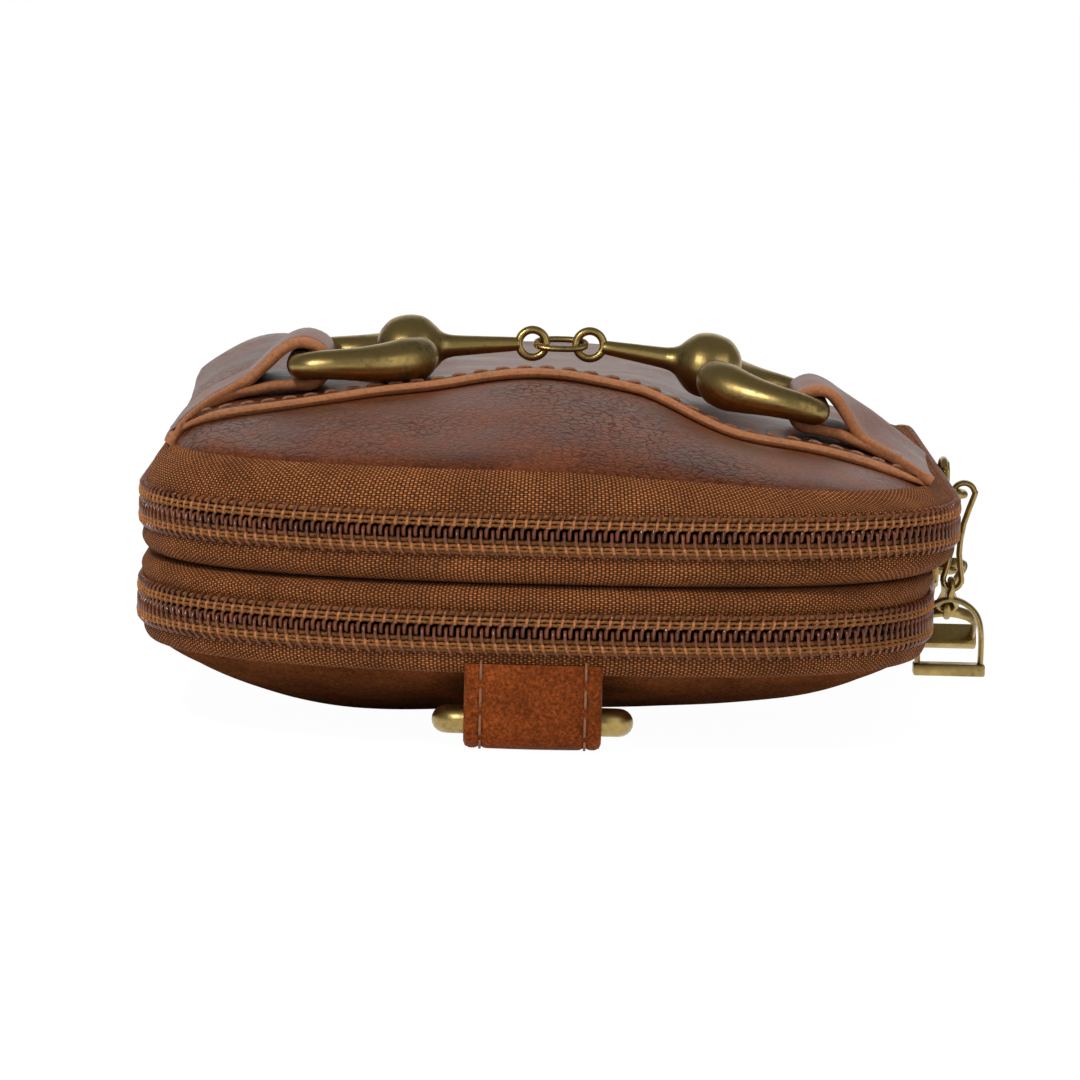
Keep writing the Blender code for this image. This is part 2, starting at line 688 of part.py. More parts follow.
def pull(prefix, place, slack, link_turn, stirrup_turn, parent):
    """The pull: an oval link through the slider's arch, and a stirrup with a broad footplate hung in it."""
    link_axis = add_axis(f"{prefix}_link_axis", place, parent, link_turn)
    top = arc((0, slack), LINK_HALF_WIDTH, 0, 180, 8)
    bottom = arc((0, -LINK_LENGTH), LINK_HALF_WIDTH, 180, 360, 8)
    path = [(x, 0, z) for x, z in top + bottom]
    sweep(f"{prefix}_pull_link", path, [LINK_WIRE] * len(path), (0, 1, 0), 8, ANTIQUE_BRASS, link_axis)
    bend = link_axis.matrix_world @ (Vector((0, 0, -LINK_LENGTH - LINK_HALF_WIDTH)) * MM)
    pull_axis = add_axis(f"{prefix}_pull_axis", bend / MM, link_axis, stirrup_turn)
    eye = [(0, y, z) for y, z in arc((0, 0), EYE_RADIUS, 0, 360, 14)[:-1]]
    stirrup = sweep(f"{prefix}_pull", eye, [EYE_WIRE] * len(eye), (1, 0, 0), 8, ANTIQUE_BRASS, pull_axis)
    shoulder = -EYE_RADIUS - STIRRUP_NECK
    foot = shoulder - STIRRUP_HEIGHT
    half = STIRRUP_HALF_WIDTH
    leg = [(half * across, 0, shoulder - STIRRUP_HEIGHT * down) for across, down in STIRRUP_LEG]
    other_leg = [(-x, 0, z) for x, _, z in reversed(leg)]
    arch = smooth_path(other_leg + [(0, 0, shoulder)] + leg, 3)
    legs = sweep(f"{prefix}_legs_cutter", arch, [STIRRUP_WIRE] * len(arch), (0, 1, 0), 8, ANTIQUE_BRASS,
                 pull_axis, closed=False)
    reach = half + FOOTPLATE_PROUD
    depth = FOOTPLATE_DEPTH / 2
    low = (-reach, -depth, foot - FOOTPLATE_THICKNESS)
    plate = block(f"{prefix}_plate_cutter", low, (reach, depth, foot), ANTIQUE_BRASS, pull_axis)
    unite(stirrup, legs, plate)


def front_slider_and_pull(parent):
    """The front zip's slider on the right side, with its pull hanging straight down."""
    axis, place = slider("front", FRONT_CHAIN, FRONT_SLIDER_Y, parent)
    lean = Matrix.Rotation(math.radians(FRONT_PULL_LEAN), 4, "Y")
    pull("front", place, 0.0, lean, None, axis)


def back_slider_and_pull():
    """The back zip's slider on the right side, with its pull laid back along the bag."""
    axis, place = slider("back", BACK_CHAIN, BACK_SLIDER_Y, None)
    link_turn = Matrix.Rotation(math.radians(BACK_LINK_SWING), 4, "X")
    stirrup_turn = Matrix.Rotation(math.radians(BACK_PULL_SWING), 4, "X")
    pull("back", place, BACK_LINK_SLACK, link_turn, stirrup_turn, axis)


def ring_bar_place(side):
    """Where a bit ring's outer bar lies in its strap."""
    ball_x = BIT_SHIFT + side * BALL_SPREAD
    x = ball_x + side * RING_REACH * RING_SLANT
    layers = POCKET_CLEARANCE + POCKET_LEATHER + STRAP_CLEARANCE + STRAP_LEATHER + GAP + RING_WIRE
    return ball_x, x, front_height(x, BIT_Y) + layers


def ball_height(side):
    """Height of a cannon's ball, which keeps it clear of the pocket."""
    top = front_height(BIT_SHIFT + side * BALL_SPREAD, BIT_Y)
    return top + POCKET_CLEARANCE + POCKET_LEATHER + BALL_RADIUS + GAP


def eye_height():
    """Height of the two eyes at the horsebit's middle, level with the higher ball."""
    return max(ball_height(-1), ball_height(1))


def bit_ring(side, word, parent):
    """A bit ring: a flat loop with thick legs, a slim pin through the ball and a bar in the strap."""
    ball_x, bar_x, bar_z = ring_bar_place(side)
    tilt = math.asin((ball_height(side) - bar_z) / RING_REACH)
    axis = add_axis(f"bit_{word}_ring_axis", (bar_x, BIT_Y, bar_z), parent)
    corners = [(RING_REACH * out, RING_HALF_HEIGHT * up, radius) for out, up, radius in RING_HALF_LOOP]
    corners += [(x, -y, r) for x, y, r in reversed(corners[1:-1])]
    path = smooth_path(corners, 2, closed=True)
    points = []
    for x, y, _ in path:
        inward = RING_REACH - x
        points.append((-side * inward * math.cos(tilt), y, inward * math.sin(tilt)))
    normal = (math.sin(tilt) * side, 0, math.cos(tilt))
    sweep(f"bit_ring_{word}", points, [r for _, _, r in path], normal, 10, ANTIQUE_BRASS, axis)
    return axis, tilt


def cannon(side, word, ring_axis, tilt):
    """A cannon: a ball bored for the ring's pin, a tapered rod and an eye at the middle."""
    _, bar_x, bar_z = ring_bar_place(side)
    ball_x = bar_x - side * RING_REACH * math.cos(tilt)
    ball_z = bar_z + RING_REACH * math.sin(tilt)
    reach = BIT_SHIFT + side * CANNON_EYE_SPREAD - ball_x
    climb = eye_height() - ball_z
    turn = Matrix.Rotation(-math.atan(climb / reach), 4, "Y")
    axis = add_axis(f"bit_{word}_cannon_axis", (ball_x, BIT_Y, ball_z), ring_axis, turn)
    eye_x = math.copysign(math.hypot(reach, climb), reach)
    rings = []
    for i in range(1, BALL_RINGS):
        angle = math.pi * i / BALL_RINGS
        girth = BALL_RADIUS * math.sin(angle)
        x = BALL_RADIUS * math.cos(angle)
        rings.append([(x, y, z) for y, z in arc((0, 0), girth, 0, 360, BALL_SIDES)[:-1]])
    ball = bridge(f"bit_cannon_{word}", rings, ANTIQUE_BRASS, axis)
    bore_radius = PIN_WIRE + PIN_CLEARANCE
    bore_rings = [[(x, y, z) for x, z in arc((0, 0), bore_radius, 0, 360, BORE_SIDES)[:-1]]
                  for y in (-BALL_RADIUS * 2, BALL_RADIUS * 2)]
    bore = bridge(f"bit_bore_{word}_cutter", bore_rings, ANTIQUE_BRASS, axis)
    inward = 1 if eye_x > 0 else -1
    start = inward * (bore_radius + CANNON_ROOT)
    neck = inward * (BALL_RADIUS + CANNON_NECK)
    end = eye_x - inward * (CANNON_EYE_RADIUS - CANNON_EYE_WIRE / 5)
    rod_path = [(start, 0, 0), (neck, 0, 0), (end, 0, 0)]
    rod = sweep(f"bit_rod_{word}_cutter", rod_path, [CANNON_ROOT_RADIUS, CANNON_RADIUS, CANNON_TIP_RADIUS],
                (0, 1, 0), 12, ANTIQUE_BRASS, axis, closed=False)
    eye_path = [(eye_x + x, 0, z) for x, z in arc((0, 0), CANNON_EYE_RADIUS, 0, 360, 16)[:-1]]
    wires = [CANNON_EYE_WIRE] * len(eye_path)
    eye = sweep(f"bit_eye_{word}_cutter", eye_path, wires, (0, 1, 0), 8, ANTIQUE_BRASS, axis)
    unite(ball, rod, eye)
    cut = ball.modifiers.new("pin bore", "BOOLEAN")
    cut.operation = "DIFFERENCE"
    cut.object = bore
    bore.hide_render = True
    bore.display_type = "WIRE"
    return axis


def middle_link(parent):
    """The small oval link that joins the two cannons' eyes."""
    place = (BIT_SHIFT - CANNON_EYE_SPREAD, BIT_Y, eye_height())
    axis = add_axis("bit_link_axis", place, parent)
    turn = math.radians(MIDDLE_LINK_TURN)
    path = []
    for u, v in arc((0, 0), 1.0, 0, 360, MIDDLE_LINK_SIDES)[:-1]:
        x = CANNON_EYE_SPREAD + MIDDLE_LINK_HALF_LENGTH * math.copysign(abs(u) ** MIDDLE_LINK_POWER, u)
        across = MIDDLE_LINK_HALF_WIDTH * math.copysign(abs(v) ** MIDDLE_LINK_POWER, v)
        path.append((x, across * math.cos(turn), across * math.sin(turn)))
    normal = (0, -math.sin(turn), math.cos(turn))
    sweep("bit_link", path, [MIDDLE_LINK_WIRE] * len(path), normal, 8, ANTIQUE_BRASS, axis)


def bit_strap(side, word, parent):
    """A strap from the side seam over the pocket, round the ring's bar and back underneath itself."""
    _, bar_x, bar_z = ring_bar_place(side)
    clear = POCKET_CLEARANCE + POCKET_LEATHER + STRAP_CLEARANCE + STRAP_LEATHER / 2
    wrap = RING_WIRE + GAP + STRAP_LEATHER / 2
    path = []
    for inset in BIT_STRAP_STEPS:
        x = side * (HALF_WIDTH - FRONT_INSET - inset)
        point = off_surface(front_height, x, BIT_Y, clear + BIT_STRAP_LIFT * inset)
        path.append((point.x, point.z))
    first_angle, last_angle = (60, 270) if side > 0 else (120, -90)
    path += arc((bar_x, bar_z), wrap, first_angle, last_angle, 9)
    for share in (1 / 3, 2 / 3, 1):
        x = bar_x + side * BIT_STRAP_TURN_IN * share
        path.append((x, off_surface(front_height, x, BIT_Y, clear).z))
    half = BIT_STRAP_WIDTH / 2
    ribbon(f"bit_strap_{word}", path, STRAP_LEATHER, BIT_Y - half, BIT_Y + half, "Y", LEATHER_TRIM, parent)


def horsebit(parent):
    """The horsebit across the pocket: two straps, two rings, two cannons and the middle link."""
    link_carrier = None
    for side, word in ((-1, "left"), (1, "right")):
        bit_strap(side, word, parent)
        ring_axis, tilt = bit_ring(side, word, parent)
        cannon_axis = cannon(side, word, ring_axis, tilt)
        if side < 0:
            link_carrier = cannon_axis
    middle_link(link_carrier)


def tab_and_ring():
    """The leather tab below the back zip, folded round the strap ring's bar."""
    tip = -HALF_LENGTH
    wrap = RING_TAB_WIRE + GAP / 2 + TAB_LEATHER / 2
    bar_y = tip + TAB_FRONT + TAB_LEATHER / 2 + wrap
    bar_z = wrap + TAB_LEATHER / 2 + TAB_LIFT
    tops = (BACK_SEAM - TAB_LIFT, (BACK_SEAM + bar_z + TAB_RISE) / 2, bar_z + TAB_RISE)
    path = [(bar_y - wrap, z) for z in tops]
    path += arc((bar_y, bar_z), wrap, 180, 360, 10)
    path += [(bar_y + wrap, bar_z + TAB_END)]
    half = TAB_WIDTH / 2
    ribbon("strap_tab", path, TAB_LEATHER, TAB_SHIFT - half, TAB_SHIFT + half, "X", LEATHER_TRIM, None)
    drop = math.asin((bar_z - RING_TAB_WIRE - TAB_LIFT) / STRAP_RING_REACH)
    turn = Matrix.Rotation(-drop, 4, "X")
    axis = add_axis("strap_ring_axis", (TAB_SHIFT, bar_y, bar_z), None, turn)
    half_ring = STRAP_RING_WIDTH / 2 - RING_TAB_WIRE
    corner = STRAP_RING_CORNER
    straight = STRAP_RING_REACH - half_ring * STRAP_RING_ROUND
    loop = [(-half_ring + corner, 0), (half_ring - corner, 0)]
    loop += arc((half_ring - corner, corner), corner, -60, 0, 2)
    bow = STRAP_RING_REACH - straight
    loop += [(half_ring * u, straight + bow * v) for u, v in arc((0, 0), 1.0, 0, 180, 12)]
    loop += arc((-half_ring + corner, corner), corner, 180, 240, 2)
    path = [(x, y, 0) for x, y in loop]
    sweep("strap_ring", path, [RING_TAB_WIRE] * len(path), (0, 0, 1), 10, ANTIQUE_BRASS, axis)


def build():
    """Every piece of the bag, closed and lying on its back."""
    clear_scene()
    hinge_y = HALF_LENGTH - COIL_DEPTH
    back_shell()
    tab_and_ring()
    back_hinge = add_hinge("back_open_axis", (0, hinge_y, MIDDLE_SEAM - DIVIDER / 2))
    middle_wall(back_hinge)
    front_place = (0, hinge_y - FRONT_INSET + COIL_DEPTH, FRONT_SEAM)
    front_hinge = add_hinge("front_open_axis", front_place, back_hinge)
    front_shell(front_hinge)
    horsebit(front_hinge)
    front_slider_and_pull(back_hinge)
    back_slider_and_pull()


build()
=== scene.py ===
"""Looks of the crossbody phone bag: leather shells, zip tapes and coils, brass hardware, stage and camera.

Run it with blender --background --python scene.py. Sizes in the settings are metres. The constants and the
functions that shape the pieces use millimetres, unless they say otherwise.
"""

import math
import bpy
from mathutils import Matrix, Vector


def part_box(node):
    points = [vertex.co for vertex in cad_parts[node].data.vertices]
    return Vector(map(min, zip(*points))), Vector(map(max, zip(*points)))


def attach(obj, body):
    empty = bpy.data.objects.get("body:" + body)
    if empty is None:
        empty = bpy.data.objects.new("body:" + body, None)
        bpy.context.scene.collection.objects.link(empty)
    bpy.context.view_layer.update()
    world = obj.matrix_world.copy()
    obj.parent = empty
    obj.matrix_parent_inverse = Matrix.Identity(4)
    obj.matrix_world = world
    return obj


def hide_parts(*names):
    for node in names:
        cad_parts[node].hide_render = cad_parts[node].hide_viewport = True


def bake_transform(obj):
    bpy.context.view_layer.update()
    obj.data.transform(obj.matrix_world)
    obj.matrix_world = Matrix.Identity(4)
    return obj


bl_info = {
    "name": "Crossbody phone bag looks",
    "version": (1, 0, 0),
    "blender": (4, 5, 0),
    "location": "3D View > Sidebar > Phone bag",
    "description": "Dresses the packed phone bag in leather, zips and antique brass",
    "category": "Object",
}

import bmesh
import bpy
import numpy as np
from bpy.props import FloatProperty, FloatVectorProperty, IntProperty, PointerProperty
from mathutils import Matrix, Vector, noise

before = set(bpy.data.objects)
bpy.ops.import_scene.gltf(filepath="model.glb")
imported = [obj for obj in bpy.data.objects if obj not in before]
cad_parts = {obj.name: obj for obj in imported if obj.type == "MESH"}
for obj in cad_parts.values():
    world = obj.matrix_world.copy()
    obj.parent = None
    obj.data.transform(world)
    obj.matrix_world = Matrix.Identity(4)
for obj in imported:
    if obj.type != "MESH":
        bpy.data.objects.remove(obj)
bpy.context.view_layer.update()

MM = 0.001

# Outline of the bag, as the CAD source gives it
HALF_WIDTH = 54.0
HALF_LENGTH = 92.5
CORNER_DEPTH = 42.0
CORNER_POWER = 2.6
STRAIGHT = HALF_LENGTH - CORNER_DEPTH
ZIP_END = 58.0

# Heights of seams and zips
BACK_SEAM = 10.5
BACK_CHAIN = 15.1
MIDDLE_SEAM = 21.1
FRONT_CHAIN = 27.6
FRONT_SEAM = 33.8

# Panels and linings
FRONT_INSET = 4.0
BACK_INSET = 2.0
PANEL_LEATHER = 1.4
LINING_GAP = 0.3
LINING_THICKNESS = 0.5
LINING_MARGIN = 5.0
DIVIDER_INSET = 3.2
DIVIDER_GAP = 0.7

# Slip pocket
POCKET_EDGE_Y = -47.5
POCKET_ARCH = 0.0077
POCKET_DEPTH = 16.0
POCKET_HALF_WIDTH = 49.4
POCKET_INSET = 4.6
POCKET_LEATHER = 0.9
POCKET_END_Y = 87.4

# Zips: each one's chain height, and the (inset, height) points that all four tapes start with
CHAINS = {"back": BACK_CHAIN, "front": FRONT_CHAIN}
TAPE_EDGE = ((1.5, 0.9), (1.15, 1.6), (1.0, 2.8))
TAPE_THICKNESS = 0.6
TAPE_SEAM_GAP = 0.2
CORD_INSET = 3.1
CORD_THICKNESS = 1.4
GUSSET_LEATHER = 1.2
GUSSET_START_Y = ZIP_END + 3.3

# Sliders: their places, the wings' outline and planes beside the bag's side, and the link's wire
SLIDER_Y = {"front": -6.0, "back": 12.0}
SLIDER_SHIELD = ((-4.4, 0.9), (-4.0, 2.6), (-2.9, 3.5), (-0.6, 3.6), (2.2, 2.9), (3.9, 2.0), (4.5, 0.8))
WING_OUTSIDE = (0.5, 1.5)
WING_INSIDE = (-3.8, -2.85)
WING_INSIDE_SIZE = 0.83
WING_BEVEL = 0.3
LINK_REACH = 12.0
LINK_HALF_WIDTH = 1.5
PULL_WIRE = 0.42

# Pulls: the pin's X and Z, the link's play in the arch, and how link and stirrup are turned, in degrees
PULLS = {"front": (57.8, 26.4, 0.0, (6, "Y"), (0, "X")), "back": (57.8, 13.9, 0.8, (60, "X"), (62, "X"))}

# Horsebit
BIT_Y = -36.0
BIT_SHIFT = 1.0
EYE_HEIGHT = 48.0
BALLS = {-1: (-19.3, 47.1), 1: (20.9, 45.6)}
BALL_RADIUS = 4.4
PIN_BORE = 1.75
RING_PINS = {-1: (-18.4, 46.9), 1: (22.1, 44.7)}
RING_BARS = {-1: (-33.7, 45.0), 1: (35.2, 40.5)}
RING_HALF_HEIGHT = 12.6
BIT_LINK_WIRE = 0.42
EYE_SPREAD = 3.85
EYE_RADIUS = 1.85
EYE_WIRE = 0.55

# The bit straps' middle lines from the outer end over the ring's bar and round it, as (x, z)
STRAP_LEATHER = 1.5
STRAP_HALF_WIDTH = 10
STRAP_LEFT = [(-50.1, 35.3), (-48.3, 37.9), (-45.3, 40.1), (-42.8, 41.4), (-40.5, 42.75), (-38.1, 45.0),
              (-35.7, 47.2), (-33.25, 48.0), (-30.8, 46.9), (-30.4, 44.4), (-31.9, 42.5), (-34.2, 42.4)]
STRAP_RIGHT = [(50.0, 32.3), (46.6, 34.2), (43.8, 35.6), (41.6, 36.9), (40.2, 38.6), (39.0, 40.6),
               (37.6, 42.5), (35.6, 43.3), (33.2, 42.6), (32.0, 40.6), (32.9, 38.6), (35.2, 38.0)]
STRAP_RIGHT_FAR = [(50.6, 33.2), (47.8, 35.4), (45.4, 37.2), (43.2, 38.8), (41.0, 40.2), (38.8, 41.6),
                   (36.8, 42.9), (34.8, 43.5), (32.9, 42.6), (32.0, 40.6), (32.9, 38.6), (35.2, 38.0)]

# Tab and ring for the shoulder strap
TAB_X = -1.6
TAB_HALF_WIDTH = 8.75
TAB_LEATHER = 1.6
TAB_SEAM_IN = 2.1
TAB_WRAP = 2.75
STRAP_RING_BAR = (-88.75, 3.63)
STRAP_RING_WIRE = 1.8

# Camera and area lamps in metres, each lamp as (name, place, size, power)
CAMERA_AIM = (-0.0012, -HALF_LENGTH * MM, 0.0271)
LAMPS_AIM = (0, -0.03, 0.02)
LAMPS = (("key", (-0.35, -0.5, 0.75), 0.13, 3.9), ("fill", (0.6, -0.6, 0.3), 0.6, 1.1),
         ("top", (0.1, 0.2, 0.9), 0.8, 2.6), ("glint", (-0.42, -0.8, 0.4), 0.13, 3.9))

CORNER_STEPS = 36
SIDE_STEPS = 60
SHARP_ANGLE = 50


# Outline and surfaces

def corner_point(inset, step, far_side, right_side):
    """Point on a corner of the outline drawn in by inset; step 0 is at the side and 1 at the tip."""
    angle = step * math.pi / 2
    power = 2 / CORNER_POWER
    x = (HALF_WIDTH - inset) * math.cos(angle) ** power if step < 1 else 0.0
    y = STRAIGHT + (CORNER_DEPTH - inset) * math.sin(angle) ** power
    return (x if right_side else -x, y if far_side else -y)


def side_point(x, y, inset):
    """A point of a side, drawn in where it runs into the far corner."""
    if y <= STRAIGHT:
        return (x, y)
    share = min(1.0, ((y - STRAIGHT) / (CORNER_DEPTH - inset)) ** CORNER_POWER)
    return (x * (1 - share) ** (1 / CORNER_POWER), y)


def closed_outline(inset, squeeze=1.0):
    """The whole outline, anticlockwise from the right side; squeeze narrows it towards the middle line."""
    points = []
    for right_side, far_side in ((True, True), (False, True), (False, False), (True, False)):
        steps = [i / CORNER_STEPS for i in range(CORNER_STEPS)]
        if right_side != far_side:
            steps = [1 - s for s in steps]
        points += [corner_point(inset, s, far_side, right_side) for s in steps]
        if right_side != far_side:
            side = 1 if right_side else -1
            points += [(side * (HALF_WIDTH - inset), side * STRAIGHT * (2 * i / SIDE_STEPS - 1))
                       for i in range(SIDE_STEPS)]
    return np.array([(x * squeeze, y) for x, y in points])


def zip_outline(inset):
    """The open path of a zip, from its left end round the near end to its right end."""
    side = HALF_WIDTH - inset
    length = ZIP_END + STRAIGHT
    shares = [i / SIDE_STEPS for i in range(SIDE_STEPS)]
    points = [side_point(-side, ZIP_END - length * s, inset) for s in shares]
    points += [corner_point(inset, i / CORNER_STEPS, False, False) for i in range(CORNER_STEPS)]
    points += [corner_point(inset, 1 - i / CORNER_STEPS, False, True) for i in range(CORNER_STEPS)]
    points += [side_point(side, length * s - STRAIGHT, inset) for s in shares + [1.0]]
    return np.array(points)


def far_outline(inset, start):
    """The open path of a far gusset, from the right side round the far end to the left side."""
    reach = ((start - STRAIGHT) / (CORNER_DEPTH - inset)) ** (CORNER_POWER / 2)
    first = math.asin(reach) / (math.pi / 2)
    steps = [first + (1 - first) * i / CORNER_STEPS for i in range(CORNER_STEPS + 1)]
    points = [corner_point(inset, s, True, True) for s in steps]
    points += [corner_point(inset, s, True, False) for s in reversed(steps[:-1])]
    return np.array(points)


def inset_at(x, y):
    """How far in from the outline points lie, and how much they belong to an end and not to a side."""
    beyond = np.maximum(np.abs(y) - STRAIGHT, 0.0)
    low = np.full(x.shape, -20.0)
    high = np.full(x.shape, CORNER_DEPTH - 1e-6)
    for _ in range(40):
        middle = (low + high) / 2
        reach = (np.abs(x) / (HALF_WIDTH - middle)) ** CORNER_POWER
        reach += (beyond / (CORNER_DEPTH - middle)) ** CORNER_POWER
        high = np.where(reach > 1, middle, high)
        low = np.where(reach > 1, low, middle)
    share = np.minimum(1.0, (beyond / (CORNER_DEPTH - low)) ** CORNER_POWER)
    flat = beyond <= 0
    return np.where(flat, HALF_WIDTH - np.abs(x), low), np.where(flat, 0.0, share)


def smooth_step(share):
    """A soft change from 0 to 1."""
    share = np.clip(share, 0.0, 1.0)
    return share * share * (3 - 2 * share)


def bell(value, centre, width):
    """A soft bump, 1 at its centre and next to nothing at twice its width."""
    return np.exp(-((value - centre) / width) ** 2)


def rise(distance, reach, power):
    """A rounded edge, from 0 at the seam to 1 at its reach."""
    share = np.clip(distance / reach, 0.0, 1.0)
    return (1 - (1 - share) ** power) ** (1 / power)


def seam_lean(x, y):
    """How far the front seam stands above its straight line: the bag leans a little to the right."""
    further = smooth_step((y + 45) / 110)
    left = 0.8 + 1.6 * further * smooth_step(-(x + 24) / 26)
    return left - (2.65 + 0.9 * smooth_step((y + 75) / 30)) * smooth_step((x + 5) / 55)


def front_height(x, y):
    """Height of the front panel's outer face."""
    inset, end_share = inset_at(x, y)
    right_share = smooth_step(0.5 + x / 40)
    side_rise = 20 + 22 * right_share
    side_power = 2.2 - 1.02 * right_share
    reach = side_rise + (38 - side_rise) * end_share
    power = side_power + (1.5 - side_power) * end_share
    fall = 2.6 * (x / HALF_WIDTH) ** 2 + 1.4 * smooth_step((y + 10) / HALF_LENGTH)
    fall += 1.5 * smooth_step(x / 45) * smooth_step((y + 40) / 90)
    share = rise(inset - FRONT_INSET, reach, power)
    return FRONT_SEAM + seam_lean(x, y) * (1 - share) + share * (8.2 - fall)


def back_height(x, y):
    """Height of the back panel's outer face."""
    inset, end_share = inset_at(x, y)
    side_rise = 24 + 8 * smooth_step(0.5 + x / 40)
    reach = side_rise + (38 - side_rise) * end_share
    power = 1.4 - 0.2 * end_share
    return BACK_SEAM * (1 - rise(inset - BACK_INSET, reach, power))


def drawn_in(points):
    """Points of the worn bag: the back's right near corner is pushed in, and so is the front's right far side."""
    x, y, z = points[:, 0], points[:, 1], points[:, 2]
    right = smooth_step((x - 28) / 26)
    near = right * smooth_step((24.4 - z) / 6) * smooth_step((2 - y) / 55)
    far = right * smooth_step((y - 15) / 40) * smooth_step((100 - y) / 30) * smooth_step((z - 30.3) / 3.5)
    return points - np.stack([3.2 * near + 3.0 * far, np.zeros_like(far), 1.2 * far], 1)


def unit_rows(vectors):
    """Each row of an array, made 1 long."""
    return vectors / np.linalg.norm(vectors, axis=1)[:, None]


def run_of(points):
    """How far along a line each of its points lies."""
    return np.concatenate([[0], np.cumsum(np.linalg.norm(np.diff(points, axis=0), axis=1))])


def off_surface(height, x, y, distance):
    """Points off a panel's face along its normal; distance may be one number or one for each point."""
    step = 0.05
    slope_x = (height(x + step, y) - height(x - step, y)) / (2 * step)
    slope_y = (height(x, y + step) - height(x, y - step)) / (2 * step)
    normal = unit_rows(np.stack([-slope_x, -slope_y, np.ones_like(x)], 1))
    return np.stack([x, y, height(x, y)], 1) + normal * np.reshape(distance, (-1, 1)), normal


def rim_points(height, x, y, distance):
    """Points level with a panel's seam, moved inwards by a distance."""
    rim = np.stack([x, y, height(x, y)], 1)
    moved, _ = off_surface(height, x, y, distance)
    away = moved - rim
    away[:, 2] = 0
    return rim + unit_rows(away) * abs(distance)


def ripple(x, y, size, amount, seed):
    """Soft uneven distances, one for each point, from noise with features of a given size."""
    shift = Vector((seed * 17.3, seed * 9.1, seed * 5.7))
    return np.array([noise.noise(Vector((*place, 0)) / size + shift) * amount for place in zip(x, y)])


# Meshes

def place_object(name, data):
    """A new object in the scene."""
    thing = bpy.data.objects.new(name, data)
    bpy.context.scene.collection.objects.link(thing)
    return thing


def shade(mesh, sharp):
    """Smooth shading, except where faces meet at more than an angle in degrees."""
    mesh.shade_smooth()
    mesh.set_sharp_from_angle(angle=math.radians(sharp))


def final_mesh(piece):
    """The mesh of a piece with its modifiers applied."""
    bpy.context.view_layer.update()
    evaluated = piece.evaluated_get(bpy.context.evaluated_depsgraph_get())
    return bpy.data.meshes.new_from_object(evaluated)


def make_piece(name, vertices, faces, material, uvs=None, merge=0.0, sharp=40):
    """One piece from points in millimetres, closed and facing out, with an optional UV for each point."""
    mesh = bpy.data.meshes.new(name)
    mesh.from_pydata([tuple(v) for v in np.asarray(vertices, float) * MM], [], faces)
    if uvs is not None:
        layer = mesh.uv_layers.new(name="strip")
        order = np.array([loop.vertex_index for loop in mesh.loops])
        layer.data.foreach_set("uv", np.asarray(uvs, np.float32)[order].ravel())
    body = bmesh.new()
    body.from_mesh(mesh)
    if merge:
        bmesh.ops.remove_doubles(body, verts=body.verts, dist=merge * MM)
        bmesh.ops.dissolve_degenerate(body, edges=body.edges, dist=merge * MM / 10)
    bmesh.ops.recalc_face_normals(body, faces=body.faces)
    if body.calc_volume(signed=True) < 0:
        bmesh.ops.reverse_faces(body, faces=body.faces)
    body.to_mesh(mesh)
    body.free()
    shade(mesh, sharp)
    mesh.materials.append(material)
    return place_object(name, mesh)


def ring_faces(rings, count, closed_ends=True, loop=False):
    """Faces of a tube of rings with count points each."""
    faces = []
    for r in range(rings if loop else rings - 1):
        a, b = r * count, ((r + 1) % rings) * count
        faces += [(a + i, a + (i + 1) % count, b + (i + 1) % count, b + i) for i in range(count)]
    if closed_ends and not loop:
        faces.append(tuple(range(count)))
        faces.append(tuple(range((rings - 1) * count, rings * count)))
    return faces


def sweep(path, radii, normal, sides, closed=False, flatten=1.0):
    """Vertices and faces of a bar along a path in a plane; flatten squeezes it along the plane's normal."""
    path = np.asarray(path, float)
    count = len(path)
    normal = np.asarray(normal, float)
    if closed:
        along = np.roll(path, -1, 0) - np.roll(path, 1, 0)
    else:
        along = np.gradient(path, axis=0)
    across = unit_rows(np.cross(along, normal))
    angles = np.linspace(0, 2 * math.pi, sides, endpoint=False)
    radii = np.broadcast_to(np.asarray(radii, float), (count,))
    vertices = (path[:, None] + radii[:, None, None] * (across[:, None] * np.cos(angles)[None, :, None]
                + normal[None, None] * np.sin(angles)[None, :, None] * flatten))
    return vertices.reshape(-1, 3), ring_faces(count, sides, loop=closed)


def catmull(points, steps, closed=False):
    """A smooth curve through chosen points, which may carry a radius as well."""
    points = np.asarray(points, float)
    count = len(points)
    found = []
    for i in range(count if closed else count - 1):
        p = [points[j % count] if closed else points[min(max(j, 0), count - 1)] for j in (i - 1, i, i + 1, i + 2)]
        for k in range(steps):
            t = k / steps
            found.append(0.5 * (2 * p[1] + (p[2] - p[0]) * t + (2 * p[0] - 5 * p[1] + 4 * p[2] - p[3]) * t ** 2
                                + (3 * p[1] - p[0] - 3 * p[2] + p[3]) * t ** 3))
    if not closed:
        found.append(points[-1])
    return np.array(found)


def arc(centre, radius, start, end, steps):
    """Points on an arc in a plane, angles in degrees."""
    angles = np.radians(np.linspace(start, end, steps + 1))
    return [(centre[0] + radius * math.cos(a), centre[1] + radius * math.sin(a)) for a in angles]


def strip_section(line, thickness):
    """A closed section from a strip's middle line, rounded at both edges."""
    line = np.asarray(line, float)
    along = unit_rows(np.gradient(line, axis=0))
    across = np.stack([-along[:, 1], along[:, 0]], 1) * thickness / 2
    left, right = line + across, line - across
    first, last = line[0] - along[0] * thickness * 0.4, line[-1] + along[-1] * thickness * 0.4
    return np.concatenate([left, [last], right[::-1], [first]])


